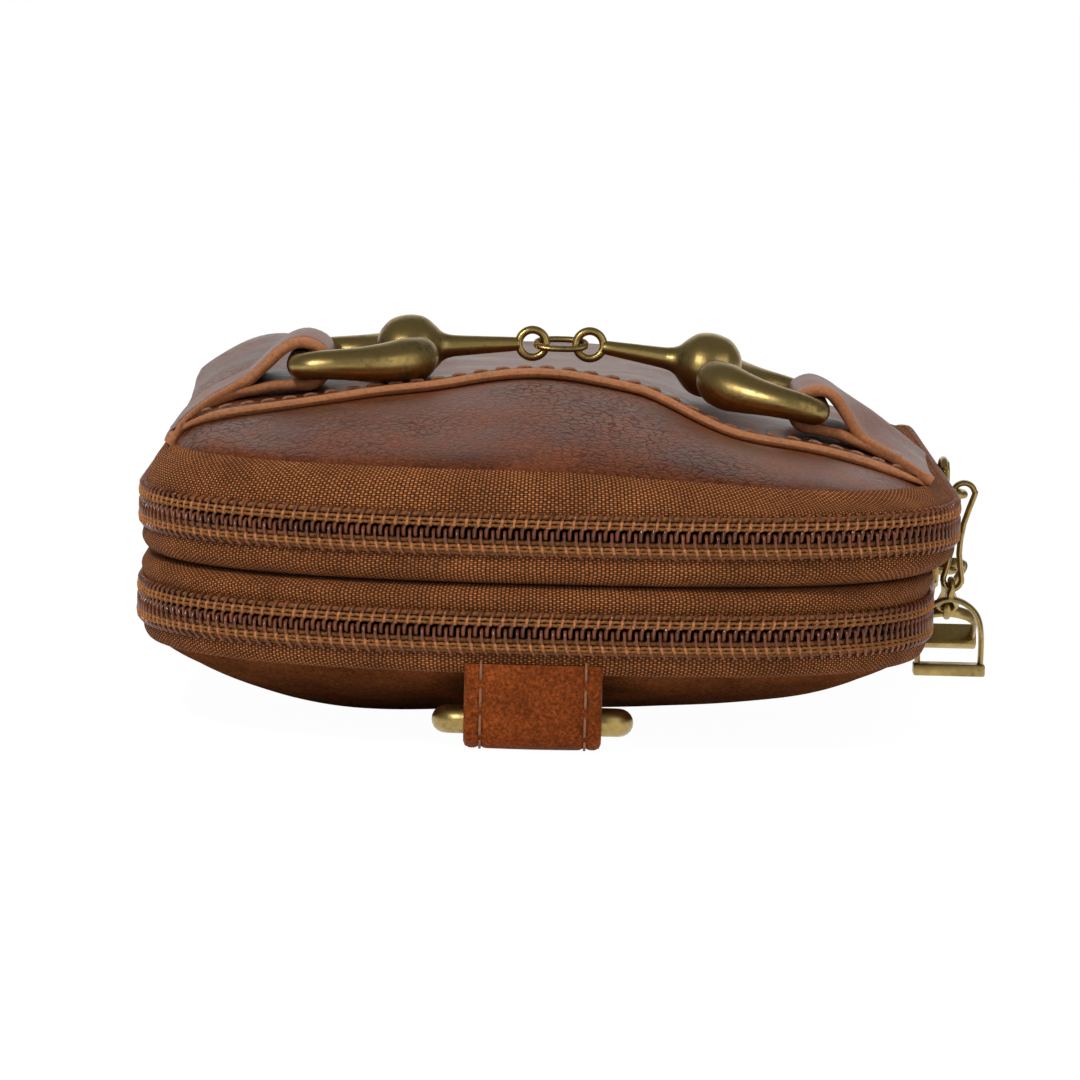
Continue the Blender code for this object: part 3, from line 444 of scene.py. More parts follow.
def band(name, section, material, path_at, lift=None):
    """A strip that follows a path at each inset; section is a closed list of (inset, height)."""
    count = len(section)
    paths = np.stack([path_at(inset) for inset, _ in section], 1)
    length, girth = run_of(path_at(0.0)), run_of(section)
    rings = len(length)
    heights = np.broadcast_to(np.asarray(section)[:, 1], (rings, count))
    vertices = np.concatenate([paths, heights[:, :, None]], 2).reshape(-1, 3)
    if lift is not None:
        vertices[:, 2] += lift(*vertices.T)
    vertices = drawn_in(vertices)
    uvs = np.stack([np.repeat(length, count), np.tile(girth, rings)], 1)
    return make_piece(name, vertices, ring_faces(rings, count), material, uvs)


def off_face(height, x, y, distance):
    """Points off a face, without their normals."""
    return off_surface(height, x, y, distance)[0]


def shell(name, height, inset, near, far, material, bumps, rim=rim_points):
    """A dished panel between two distances off a face, with a rim of its own and a closed crown."""
    fine, rest, deepest = 44, 8, CORNER_DEPTH - 0.02
    outlines = [closed_outline(inset + (deepest - inset) * (i / fine) ** 1.25) for i in range(fine + 1)]
    outlines += [closed_outline(deepest, 1 - (i + 1) / rest) for i in range(rest)]
    count = len(outlines[0])
    outer, inner = [], []
    for i, outline in enumerate(outlines):
        x, y = outline[:, 0], outline[:, 1]
        if i == 0:
            outer.append(rim(height, x, y, near) if near else np.stack([x, y, height(x, y)], 1))
            inner.append(rim(height, x, y, far))
            continue
        lift = bumps(x, y) * min(1.0, i / 8)
        outer.append(off_surface(height, x, y, near + lift)[0])
        inner.append(off_surface(height, x, y, far + lift)[0])
    rings = inner[::-1] + outer
    faces = ring_faces(len(rings), count, closed_ends=False)
    return make_piece(name, drawn_in(np.concatenate(rings)), faces, material, merge=0.004)


def ribbon(path, thickness, low, high, along, steps=10, bow=0.0, end_path=None, groove=0.0):
    """A leather strip with rounded edges: a path in a plane, made wide along X or Y towards an end path.

    A groove runs that far in from each edge, where a row of stitches pulls the strip down.
    """
    path = np.asarray(path, float)
    twist = np.zeros_like(path) if end_path is None else end_path - path
    tangent = unit_rows(np.gradient(path + twist / 2, axis=0))
    across = np.stack([-tangent[:, 1], tangent[:, 0]], 1)
    half = thickness / 2
    widths = np.linspace(low + half, high - half, steps)
    section = [(w, half) for w in widths]
    section += [(high - half + half * math.cos(a), half * math.sin(a)) for a in (math.pi / 4, 0, -math.pi / 4)]
    section += [(w, -half) for w in reversed(widths)]
    section += [(low + half - half * math.cos(a), half * math.sin(a)) for a in (-math.pi / 4, 0, math.pi / 4)]
    section = np.array(section)
    middle = (low + high) / 2
    crown = bow * (1 - ((section[:, 0] - middle) / (high - low) * 2) ** 2)
    if groove:
        from_edge = (high - low) / 2 - np.abs(section[:, 0] - middle)
        crown += 0.3 * bell(from_edge, groove, 0.4) * (section[:, 1] < 0)
    share = smooth_step((section[:, 0] - low) / (high - low))[:, None]
    rings = []
    for point, side, move in zip(path, across, twist):
        flat = point[None] + move[None] * share + side[None] * (section[:, 1] + crown)[:, None]
        if along == "Y":
            rings.append(np.stack([flat[:, 0], section[:, 0], flat[:, 1]], 1))
        else:
            rings.append(np.stack([section[:, 0], flat[:, 0], flat[:, 1]], 1))
    uvs = np.stack([np.repeat(run_of(path), len(section)), np.tile(section[:, 0], len(path))], 1)
    return np.concatenate(rings), ring_faces(len(path), len(section)), uvs



def joined(parts):
    """The vertices and faces of several closed shapes, each as one list."""
    vertices, faces = [], []
    for part_vertices, part_faces in parts:
        shift = sum(len(v) for v in vertices)
        vertices.append(np.asarray(part_vertices, float))
        faces += [tuple(i + shift for i in face) for face in part_faces]
    return np.concatenate(vertices), faces


def bevelled(body, bevel):
    """Vertices and faces of a closed mesh with bevelled edges."""
    bmesh.ops.bevel(body, geom=body.edges[:], offset=bevel, segments=3, profile=0.5, affect="EDGES")
    body.verts.index_update()
    parts = ([tuple(v.co) for v in body.verts], [tuple(v.index for v in f.verts) for f in body.faces])
    body.free()
    return parts


def rounded_box(low, high, bevel):
    """Vertices and faces of a block with bevelled edges."""
    body = bmesh.new()
    bmesh.ops.create_cube(body, size=1)
    low, high = Vector(low), Vector(high)
    for v in body.verts:
        v.co = Vector((low[i] if v.co[i] < 0 else high[i] for i in range(3)))
    return bevelled(body, bevel)


def plate(outline, low, high, bevel):
    """Vertices and faces of a plate between two X planes, from its outline in Y and Z, with bevelled edges."""
    body = bmesh.new()
    face = body.faces.new([body.verts.new((low, y, z)) for y, z in outline])
    grown = bmesh.ops.extrude_face_region(body, geom=[face])["geom"]
    moved = [v for v in grown if isinstance(v, bmesh.types.BMVert)]
    bmesh.ops.translate(body, vec=(high - low, 0, 0), verts=moved)
    return bevelled(body, bevel)


def ride_for(piece, body, slot, *nodes):
    """Fix a finished piece to its body and hide the nodes it stands for; the slot is not used."""
    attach(piece, body)
    if nodes:
        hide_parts(*nodes)
    return piece


def brass_piece(name, parts, body, node=None, sharp=80):
    """A brass piece from closed shapes, on its body; its node has the body's name if none is given."""
    piece = make_piece(name, *joined(parts), finish_of("brass"), sharp=sharp)
    return ride_for(piece, body, "antique_brass", node or body)


# Nodes

def fill_inputs(tree, node, inputs):
    """Give a node's inputs, by name or number, their values or the sockets that they are linked to."""
    for key, value in inputs.items():
        if isinstance(value, bpy.types.NodeSocket):
            tree.links.new(value, node.inputs[key])
        else:
            node.inputs[key].default_value = value


def put(tree, kind, inputs=None, **settings):
    """A new node with its settings and inputs."""
    node = tree.nodes.new(kind)
    for key, value in settings.items():
        setattr(node, key, value)
    fill_inputs(tree, node, inputs or {})
    return node


# Repeating along a path

def repeat_tree():
    """Geometry nodes that set a unit along a path, turned by the path and its face_up attribute."""
    name = "repeat along path"
    if name in bpy.data.node_groups:
        return bpy.data.node_groups[name]
    tree = bpy.data.node_groups.new(name, "GeometryNodeTree")
    for key, kind in (("Geometry", "Geometry"), ("Unit", "Object"), ("Pitch", "Float"), ("Material", "Material")):
        socket = tree.interface.new_socket(key, in_out="INPUT", socket_type="NodeSocket" + kind)
        if key == "Pitch":
            socket.subtype = "DISTANCE"
    tree.interface.new_socket("Geometry", in_out="OUTPUT", socket_type="NodeSocketGeometry")
    given = put(tree, "NodeGroupInput").outputs
    curve = put(tree, "GeometryNodeMeshToCurve", {0: given["Geometry"]}).outputs[0]
    spaced = put(tree, "GeometryNodeResampleCurve", {"Curve": curve, "Length": given["Pitch"]}, mode="LENGTH")
    up = put(tree, "GeometryNodeInputNamedAttribute", {"Name": "face_up"}, data_type="FLOAT_VECTOR")
    tangent = put(tree, "GeometryNodeInputTangent").outputs[0]
    turn = put(tree, "FunctionNodeAxesToRotation", {"Primary Axis": up.outputs["Attribute"], "Secondary Axis": tangent},
               primary_axis="Z", secondary_axis="X")
    unit = put(tree, "GeometryNodeObjectInfo", {"Object": given["Unit"]}).outputs["Geometry"]
    units = put(tree, "GeometryNodeInstanceOnPoints",
                {"Points": spaced.outputs[0], "Instance": unit, "Rotation": turn.outputs[0]})
    real = put(tree, "GeometryNodeRealizeInstances", {0: units.outputs[0]}).outputs[0]
    painted = put(tree, "GeometryNodeSetMaterial", {"Geometry": real, "Material": given["Material"]})
    put(tree, "NodeGroupOutput", {0: painted.outputs[0]})
    return tree


def repeat_along(name, path, ups, unit, pitch, material):
    """A mesh of units set every pitch metres along a path of points in millimetres."""
    mesh = bpy.data.meshes.new(name + " path")
    mesh.from_pydata([tuple(p) for p in np.asarray(path, float) * MM], [(i, i + 1) for i in range(len(path) - 1)], [])
    attribute = mesh.attributes.new("face_up", "FLOAT_VECTOR", "POINT")
    attribute.data.foreach_set("vector", np.asarray(ups, np.float32).ravel())
    carrier = place_object(name + " path", mesh)
    tree = repeat_tree()
    modifier = carrier.modifiers.new("repeat", "NODES")
    modifier.node_group = tree
    sockets = {item.name: item.identifier for item in tree.interface.items_tree
               if item.item_type == "SOCKET" and item.in_out == "INPUT"}
    for key, value in (("Unit", unit), ("Pitch", pitch), ("Material", material)):
        modifier[sockets[key]] = value
    result = final_mesh(carrier)
    result.name = name
    bpy.data.objects.remove(carrier)
    if not result.polygons:
        raise RuntimeError(f"{name} came out empty")
    result.shade_smooth()
    return place_object(name, result)


def unit_object(name, parts):
    """A helper object that holds one unit to repeat, from parts in millimetres."""
    vertices, faces = joined(parts)
    mesh = bpy.data.meshes.new(name)
    mesh.from_pydata([tuple(v) for v in vertices * MM], [], faces)
    body = bmesh.new()
    body.from_mesh(mesh)
    bmesh.ops.recalc_face_normals(body, faces=body.faces)
    body.to_mesh(mesh)
    body.free()
    mesh.shade_smooth()
    return place_object(name, mesh)


# Materials

class Paint:
    """A Principled material with short calls for the nodes it is built from."""

    def __init__(self, name, roughness, metallic=0.0):
        self.material = bpy.data.materials.new(name)
        self.material.use_nodes = True
        self.tree = self.material.node_tree
        self.shader = self.tree.nodes["Principled BSDF"]
        self.finish(Roughness=roughness, Metallic=metallic)
        self.place = put(self.tree, "ShaderNodeTexCoord").outputs["Object"]

    def noise(self, scale, detail=4.0, rough=0.55, result="Fac"):
        inputs = {"Scale": scale, "Detail": detail, "Roughness": rough, "Vector": self.place}
        return put(self.tree, "ShaderNodeTexNoise", inputs).outputs[result]

    def cells(self, scale, place, feature="DISTANCE_TO_EDGE"):
        inputs = {"Scale": scale, "Vector": place}
        return put(self.tree, "ShaderNodeTexVoronoi", inputs, feature=feature).outputs["Distance"]

    def ramp(self, value, *stops):
        node = put(self.tree, "ShaderNodeValToRGB", {"Fac": value})
        elements = node.color_ramp.elements
        for i, (at, colour) in enumerate(stops):
            element = elements[i] if i < 2 else elements.new(at)
            element.position = at
            element.color = (*colour, 1.0)
        return node.outputs["Color"]

    def scale(self, value, low, high, to_low=0.0, to_high=1.0):
        inputs = {"Value": value, "From Min": low, "From Max": high, "To Min": to_low, "To Max": to_high}
        return put(self.tree, "ShaderNodeMapRange", inputs).outputs["Result"]

    def maths(self, how, a, b=0.0):
        return put(self.tree, "ShaderNodeMath", {0: a, 1: b}, operation=how).outputs["Value"]

    def times(self, a, b):
        return self.maths("MULTIPLY", a, b)

    def weigh(self, a, share, b):
        """The first value by its share and the second by the rest."""
        return self.maths("ADD", self.times(a, share), self.times(b, 1 - share))

    def mix(self, share, a, b):
        colours = [c if isinstance(c, bpy.types.NodeSocket) else (*c, 1.0) for c in (a, b)]
        inputs = {0: share, 6: colours[0], 7: colours[1]}
        return put(self.tree, "ShaderNodeMix", inputs, data_type="RGBA").outputs[2]

    def bump(self, height, strength, distance, under=None):
        inputs = {"Height": height, "Strength": strength, "Distance": distance}
        if under:
            inputs["Normal"] = under
        return put(self.tree, "ShaderNodeBump", inputs).outputs["Normal"]

    def finish(self, **values):
        fill_inputs(self.tree, self.shader, {key.replace("_", " "): value for key, value in values.items()})
        return self.material


def tint(colour, strength):
    """A colour made lighter or darker."""
    return tuple(min(1.0, v * strength) for v in colour)


def leather(name, dark, middle, light, roughness, crackle, grain=1.0, shine=0.19, bloom=0.03):
    """Pull-up leather: mottled colour, a net of fine creases, a soft grain and a dusty bloom seen at a slant."""
    paint = Paint(name, roughness)
    cloud = paint.noise(90, 7, 0.68)
    fine = paint.noise(2300, 4, 0.75)
    colour = paint.ramp(paint.weigh(cloud, 0.35, fine), (0.38, dark), (0.62, light), (0.5, middle))
    bent = put(paint.tree, "ShaderNodeVectorMath",
               {0: paint.noise(260, 2, 0.5, "Color"), 1: (0.0022,) * 3, 2: paint.place},
               operation="MULTIPLY_ADD").outputs[0]
    creases = paint.scale(paint.cells(760, bent), 0.0, 0.13)
    patches = paint.scale(paint.noise(34, 2), 0.4, 0.62, 0.15 * crackle, crackle)
    creased = paint.times(paint.maths("SUBTRACT", 1.0, creases), patches)
    colour = paint.mix(paint.times(creased, 0.55), colour, dark)
    normal = paint.bump(paint.cells(1500, bent, "F1"), 0.12 * grain, 0.0002)
    normal = paint.bump(fine, 0.12 * grain, 0.0003, normal)
    folds = paint.maths("ADD", paint.times(creases, patches), paint.noise(120, 3))
    normal = paint.bump(folds, 0.3 * grain, 0.00025, normal)
    rough = paint.scale(cloud, 0.3, 0.75, roughness - 0.07, roughness + 0.1)
    worn = paint.maths("SUBTRACT", 1.0, creased)
    return paint.finish(Base_Color=colour, Roughness=rough, Normal=normal, Sheen_Roughness=0.25,
                        Specular_Tint=(1.0, 0.78, 0.5, 1.0), Sheen_Tint=(1.0, 0.85, 0.65, 1.0),
                        Specular_IOR_Level=paint.times(worn, shine), Sheen_Weight=paint.times(worn, bloom))


def weave(name, dark, light, pitch, roughness, flat=False):
    """Plain woven cloth with its pitch in millimetres along and across the strip's UV map, or flat along X and Y."""
    paint = Paint(name, roughness)
    if flat:
        place = put(paint.tree, "ShaderNodeMapping", {"Scale": (1 / MM,) * 3, "Vector": paint.place}).outputs[0]
    else:
        place = put(paint.tree, "ShaderNodeUVMap", uv_map="strip").outputs["UV"]
    split = put(paint.tree, "ShaderNodeSeparateXYZ", {0: place}).outputs
    drift = paint.scale(paint.noise(330, 2), 0.3, 0.7, -0.6, 0.6)
    waves = [paint.maths("SINE", paint.maths("ADD", paint.times(split[axis], math.pi / size), drift))
             for axis, size in zip("XY", pitch)]
    cells = paint.times(*waves)
    knuckle = paint.maths("POWER", paint.maths("ABSOLUTE", cells), 1.4)
    under = paint.scale(cells, -0.15, 0.15, 0.4, 1.6)
    uneven = paint.scale(paint.noise(1500, 3, 0.7), 0.3, 0.7, 0.4, 1.3)
    level = paint.times(paint.times(knuckle, under), uneven)
    # painted shade: the colour runs from dark in the gaps and where a thread passes under to light on the raised
    # knuckles
    colour = paint.mix(level, dark, light)
    colour = paint.mix(paint.scale(paint.noise(110, 4), 0.35, 0.7, 0.0, 0.4), colour, dark)
    return paint.finish(Base_Color=colour, Normal=paint.bump(level, 0.8, 0.00015), Specular_IOR_Level=0.05)


def speckled(name, roughness, dark, light, scale, fibres=False, **values):
    """A finish that goes between two colours; fibres also raises its specks, as on thread."""
    paint = Paint(name, roughness)
    specks = paint.noise(scale, 2 if fibres else 4)
    if fibres:
        values["Normal"] = paint.bump(specks, 0.3, 0.0001)
    return paint.finish(Base_Color=paint.ramp(specks, (0.3, dark), (0.7, light)), **values)


def antique(name, colour, roughness):
    """Brass that is stained and duller in its dark places."""
    metal = Paint(name, 0.35, 1.0)
    spread = metal.weigh(metal.noise(160, 6, 0.68), 0.7, metal.noise(1500, 3, 0.6))
    return metal.finish(
        Base_Color=metal.ramp(spread, (0.34, tint(colour, 0.4)), (0.66, tint(colour, 1.35)), (0.46, colour)),
        Roughness=metal.scale(spread, 0.35, 0.65, roughness + 0.16, roughness - 0.06),
        Normal=metal.bump(metal.noise(800, 3), 0.12, 0.0002))


def make_materials(scene):
    """Every finish of the bag, made once and found by name afterwards."""
    looks, zips, brass = scene.bag_leather, scene.bag_zips, scene.bag_brass
    red, brown, edge = looks.front_colour, looks.back_colour, looks.edge_colour
    made = {}
    for key, name, colour, tints, *rest in (
            ("front_leather", "front leather", red, (0.3, 1.0, 2.2), 0.0, 1.0),
            ("back_leather", "back leather", brown, (0.4, 1.0, 1.9), 0.12, 0.35, 0.7, 0.0, 0.02),
            ("strap_leather", "strap leather", red, (0.6, 1.4, 2.4), 0.02, 0.4),
            ("tab_leather", "tab leather", red, (0.9, 2.1, 4.2), 0.14, 0.4, 0.8, 0.04, 0.05)):
        made[key] = leather(name, *(tint(colour, t) for t in tints), looks.roughness + rest[0], *rest[1:])
    made["edge_leather"] = leather("painted leather edge", tint(edge, 0.7), edge, tint(edge, 1.25), 0.5, 0.1, 0.5)
    # the weaves' dark colours are painted shade in the gaps between the threads
    made["tape"] = weave("zip tape", tint(zips.tape_colour, 0.035), zips.tape_colour, (0.505, 0.2525), 0.75)
    made["lining"] = weave("lining cloth", (0.03, 0.018, 0.011), (0.16, 0.1, 0.06), (0.6, 0.6), 0.8, True)
    made["coil"] = speckled("nylon coil", 0.14, tint(zips.coil_colour, 0.5), tint(zips.coil_colour, 1.6), 300,
                            Specular_IOR_Level=0.3, Coat_Weight=0.35, Coat_Roughness=0.06)
    # painted shade: the strands and the cords behind the wires are the same thread as the knots, darkened to 0.55 of
    # its colour
    for key, depth in (("thread", 1.0), ("strand", 0.55)):
        dark, light = tint(zips.thread_colour, 0.55 * depth), tint(zips.thread_colour, 1.25 * depth)
        made[key] = speckled("zip " + key, 0.7, dark, light, 2600, True, Specular_IOR_Level=0.05)
    made["seam_thread"] = speckled("seam thread", 0.6, tint(edge, 0.45), tint(edge, 0.9), 2400, True)
    made["seam"] = speckled("shadowed seam", 0.8, (0.008, 0.004, 0.002), (0.025, 0.011, 0.005), 500,
                            Specular_IOR_Level=0.1)
    made["brass"] = antique("antique brass", brass.colour, brass.roughness)
    return made


FINISHES = {}


def finish_of(key):
    """A finish by its key, made with all the others the first time."""
    if not FINISHES:
        FINISHES.update(make_materials(bpy.context.scene))
    return FINISHES[key]


# Settings

def colour_setting(name, description, default):
    """A colour without alpha."""
    return FloatVectorProperty(name=name, description=description, default=default, subtype="COLOR", size=3)


def length_setting(name, description, default):
    """A length in metres."""
    return FloatProperty(name=name, description=description, default=default, unit="LENGTH")


def share_setting(name, description, default):
    """A value from 0 to 1."""
    return FloatProperty(name=name, description=description, default=default, subtype="FACTOR", min=0, max=1)


class BagLeatherSettings(bpy.types.PropertyGroup):
    """Leather, its edges and its stitches."""

    front_colour: colour_setting("Front leather", "Colour of the front panel and pocket", (0.1, 0.0225, 0.005))
    back_colour: colour_setting("Back leather", "Colour of the darker back panel", (0.15, 0.046, 0.014))
    edge_colour: colour_setting("Edge paint", "Tan colour of cut leather edges", (0.40, 0.16, 0.07))
    roughness: share_setting("Roughness", "How matt the leather is", 0.36)
    gape: length_setting("Pocket gape", "How far the slip pocket's mouth stands open at its middle", 0.0003)
    edge_bead: length_setting("Edge bead", "Thickness of the pocket's turned edge", 0.0015)
    stitch_pitch: length_setting("Stitch spacing", "Distance from stitch to stitch", 0.0029)


class BagZipSettings(bpy.types.PropertyGroup):
    """Coils, tapes and their thread."""

    pitch: length_setting("Tooth pitch", "Distance from tooth to tooth", 0.0015)
    wire: length_setting("Coil wire", "Thickness of the nylon wire", 0.0005)
    tape_colour: colour_setting("Tape", "Colour of the raised threads of the tape", (0.86, 0.3, 0.1))
    coil_colour: colour_setting("Coil", "Colour of the nylon coil", (0.15, 0.042, 0.014))
    thread_colour: colour_setting("Thread", "Colour of the thread that holds the coil", (0.5, 0.2, 0.07))


class BagBrassSettings(bpy.types.PropertyGroup):
    """All the metal pieces."""

    colour: colour_setting("Brass", "Colour of the antique brass", (0.36, 0.255, 0.09))
    roughness: share_setting("Roughness", "How dull the brass is", 0.3)
    sides: IntProperty(name="Sides", description="Faces round each bar", default=20, min=8, max=64)


class BagStageSettings(bpy.types.PropertyGroup):
    """Camera and lamps."""

    camera_distance: length_setting("Camera distance", "From the camera to the near end", 0.8)
    camera_fall: FloatProperty(name="Camera fall", description="How far the view drops over its length",
                               default=0.1)
    camera_roll: FloatProperty(name="Camera roll", description="Turn of the picture", default=math.radians(1.4),
                               subtype="ANGLE")
    lens: FloatProperty(name="Lens", description="Focal length on a 36 mm sensor", default=212.6)
    light: FloatProperty(name="Light", description="Strength of the lamps", default=1.0)


# Operators

def seen_directly(tree, glossy_share=None):
    """1 for rays from the camera, off metal or through glass, and 0 for rays that light a surface."""
    path = put(tree, "ShaderNodeLightPath").outputs
    glossy = path["Is Glossy Ray"]
    if glossy_share:
        glossy = put(tree, "ShaderNodeMath", {0: glossy, 1: glossy_share}, operation="MULTIPLY").outputs[0]
    last = path["Is Camera Ray"]
    for seen in (glossy, path["Is Transmission Ray"]):
        last = put(tree, "ShaderNodeMath", {0: last, 1: seen}, operation="MAXIMUM").outputs[0]
    return last


class BAG_OT_stage(bpy.types.Operator):
    """Add the white floor, soft lights, world and camera."""

    bl_idname = "bag.stage"
    bl_label = "Stage"

    def execute(self, context):
        scene = context.scene
        stage = scene.bag_stage
        self.add_camera(scene, stage)
        self.add_world(scene)
        self.add_floor()
        for name, place, size, power in LAMPS:
            lamp = bpy.data.lights.new(name, "AREA")
            lamp.energy = power * stage.light
            lamp.size = size
            holder = place_object(name, lamp)
            holder.location = place
            holder.rotation_euler = (Vector(LAMPS_AIM) - Vector(place)).to_track_quat("-Z", "Y").to_euler()
            holder.visible_glossy = name in ("fill", "glint")
            holder.visible_diffuse = name != "glint"
        scene.view_settings.view_transform = "Standard"
        return {"FINISHED"}

    def add_camera(self, scene, stage):
        """A long lens at the near end, a little above the bag."""
        camera = bpy.data.cameras.new("camera")
        camera.lens = stage.lens
        camera.sensor_width = 36
        camera.clip_start = 0.01
        holder = place_object("camera", camera)
        along = Vector((0, 1, -stage.camera_fall))
        holder.location = Vector(CAMERA_AIM) - along * stage.camera_distance
        turn = along.to_track_quat("-Z", "Y").to_matrix()
        holder.rotation_euler = (Matrix.Rotation(stage.camera_roll, 3, turn.col[2].copy()) @ turn).to_euler()
        scene.camera = holder

    def add_world(self, scene):
        """Pale light from all round and pure white to see; metal and gloss see the white backdrop at the far side."""
        world = bpy.data.worlds.new("studio")
        world.use_nodes = True
        tree = world.node_tree
        glossy = put(tree, "ShaderNodeLightPath").outputs["Is Glossy Ray"]
        strength = put(tree, "ShaderNodeMapRange", {"Value": glossy, "To Min": 0.38, "To Max": 0.18}).outputs[0]
        light = tree.nodes["Background"]
        fill_inputs(tree, light, {"Color": (1, 1, 1, 1), "Strength": strength})
        white = put(tree, "ShaderNodeBackground", {"Color": (1, 1, 1, 1)})
        split = put(tree, "ShaderNodeSeparateXYZ", {0: put(tree, "ShaderNodeTexCoord").outputs["Generated"]})
        far_side = put(tree, "ShaderNodeMapRange", {"Value": split.outputs["Y"], "From Min": 0.6, "From Max": 0.92},
                       interpolation_type="SMOOTHSTEP").outputs[0]
        seen = seen_directly(tree, far_side)
        mix = put(tree, "ShaderNodeMixShader", {0: seen, 1: light.outputs[0], 2: white.outputs[0]})
        tree.links.new(mix.outputs[0], tree.nodes["World Output"].inputs[0])
        scene.world = world

    def add_floor(self):
        """A wide white floor, a hair below the bag, that keeps a trace of its shadow."""
        mesh = bpy.data.meshes.new("floor")
        size, low = 6.0, -0.0001
        corners = [(-size, -size, low), (size, -size, low), (size, size, low), (-size, size, low)]
        mesh.from_pydata(corners, [], [(0, 1, 2, 3)])
        material = bpy.data.materials.new("floor white")
        material.use_nodes = True
        tree = material.node_tree
        shader = tree.nodes["Principled BSDF"]
        fill_inputs(tree, shader, {"Base Color": (0.9, 0.9, 0.9, 1), "Roughness": 0.9})
        glow = put(tree, "ShaderNodeEmission", {"Strength": 1.05})
        share = put(tree, "ShaderNodeMath", {0: seen_directly(tree), 1: 0.93}, operation="MULTIPLY")
        mix = put(tree, "ShaderNodeMixShader", {0: share.outputs[0], 1: shader.outputs[0], 2: glow.outputs[0]})
        tree.links.new(mix.outputs[0], tree.nodes["Material Output"].inputs[0])
        mesh.materials.append(material)
        floor = place_object("floor", mesh)


def lean_above(low):
    """The seam's lean for the strip that joins it, growing from nothing at a height."""
    return lambda x, y, z: seam_lean(x, y) * smooth_step((z - low) / (FRONT_SEAM - low))


def front_bumps(x, y):
    """Unevenness of the front leather: a crown in the middle, dents under the rings and puffed sides."""
    crown = 2.2 * bell(x, -2, 12)
    dents = -1.2 * bell(x, -36, 10) - 2.1 * bell(x, 25, 9.5)
    puff = 3.5 * bell(x, -40.5, 8.5) * bell(y, 26, 26) + 1.7 * bell(x, 39, 7) * bell(y, 0, 16)
    return ripple(x, y, 30, 0.5, 1) + ripple(x, y, 11, 0.15, 2) + bell(y, -50, 24) * (crown + dents) + puff


def back_bumps(x, y):
    """Broad folds of the back leather and its lifted near end, fading out where it rests on the table."""
    standing = smooth_step(back_height(x, y) / 3)
    folds = (ripple(x, y, 24, 0.5, 3) + ripple(x, y, 9, 0.12, 4)) * standing
    lifted = 0.9 + 1.5 * smooth_step(x / 26)
    return folds + lifted * bell(y, 42 - HALF_LENGTH, 17)


def dressed_front(x, y):
    """Height of the front leather with its unevenness."""
    return front_height(x, y) + front_bumps(x, y)


def dress_panel(side, height, inset, bumps):
    """A panel's leather shell and its lining, which lies below the front's leather and above the back's."""
    inward = -1 if side == "front" else 1
    inner = PANEL_LEATHER + LINING_GAP
    panel = shell(f"{side}_leather_panel", height, inset, 0.0, inward * PANEL_LEATHER,
                  finish_of(f"{side}_leather"), bumps)
    ride_for(panel, side, f"{side}_leather", f"{side}_panel")
    cloth = shell(f"{side}_lining_cloth", height, inset + LINING_MARGIN, inward * inner,
                  inward * (inner + LINING_THICKNESS), finish_of("lining"), bumps, off_face)
    ride_for(cloth, side, "lining", f"{side}_lining")


class BAG_OT_front_leather(bpy.types.Operator):
    """Add the front panel's leather shell and its lining."""

    bl_idname = "bag.front_leather"
    bl_label = "Front leather"

    def execute(self, context):
        dress_panel("front", front_height, FRONT_INSET, front_bumps)
        return {"FINISHED"}


class BAG_OT_back_leather(bpy.types.Operator):
    """Add the back panel's leather shell and its lining."""

    bl_idname = "bag.back_leather"
    bl_label = "Back leather"

    def execute(self, context):
        dress_panel("back", back_height, BACK_INSET, back_bumps)
        return {"FINISHED"}


def pocket_points(across, share):
    """Places in the pocket's plan: across runs from -1 to 1, share from the mouth to the far end."""
    arch = POCKET_ARCH * (across * POCKET_HALF_WIDTH) ** 2
    mouth = POCKET_EDGE_Y - POCKET_DEPTH * (1 - np.exp(-arch / POCKET_DEPTH))
    y = mouth + (POCKET_END_Y - mouth) * share
    x = np.array([side_point(a * POCKET_HALF_WIDTH, abs(v), POCKET_INSET)[0] for a, v in zip(across, y)])
    return x, y


def pocket_lift(across, share, gape):
    """How far the pocket's leather stands off the front panel."""
    mouth = bell(share, 0, 0.1) * (1 - np.clip(np.abs(across), 0, 1) ** 2.5)
    return 0.2 + gape * mouth


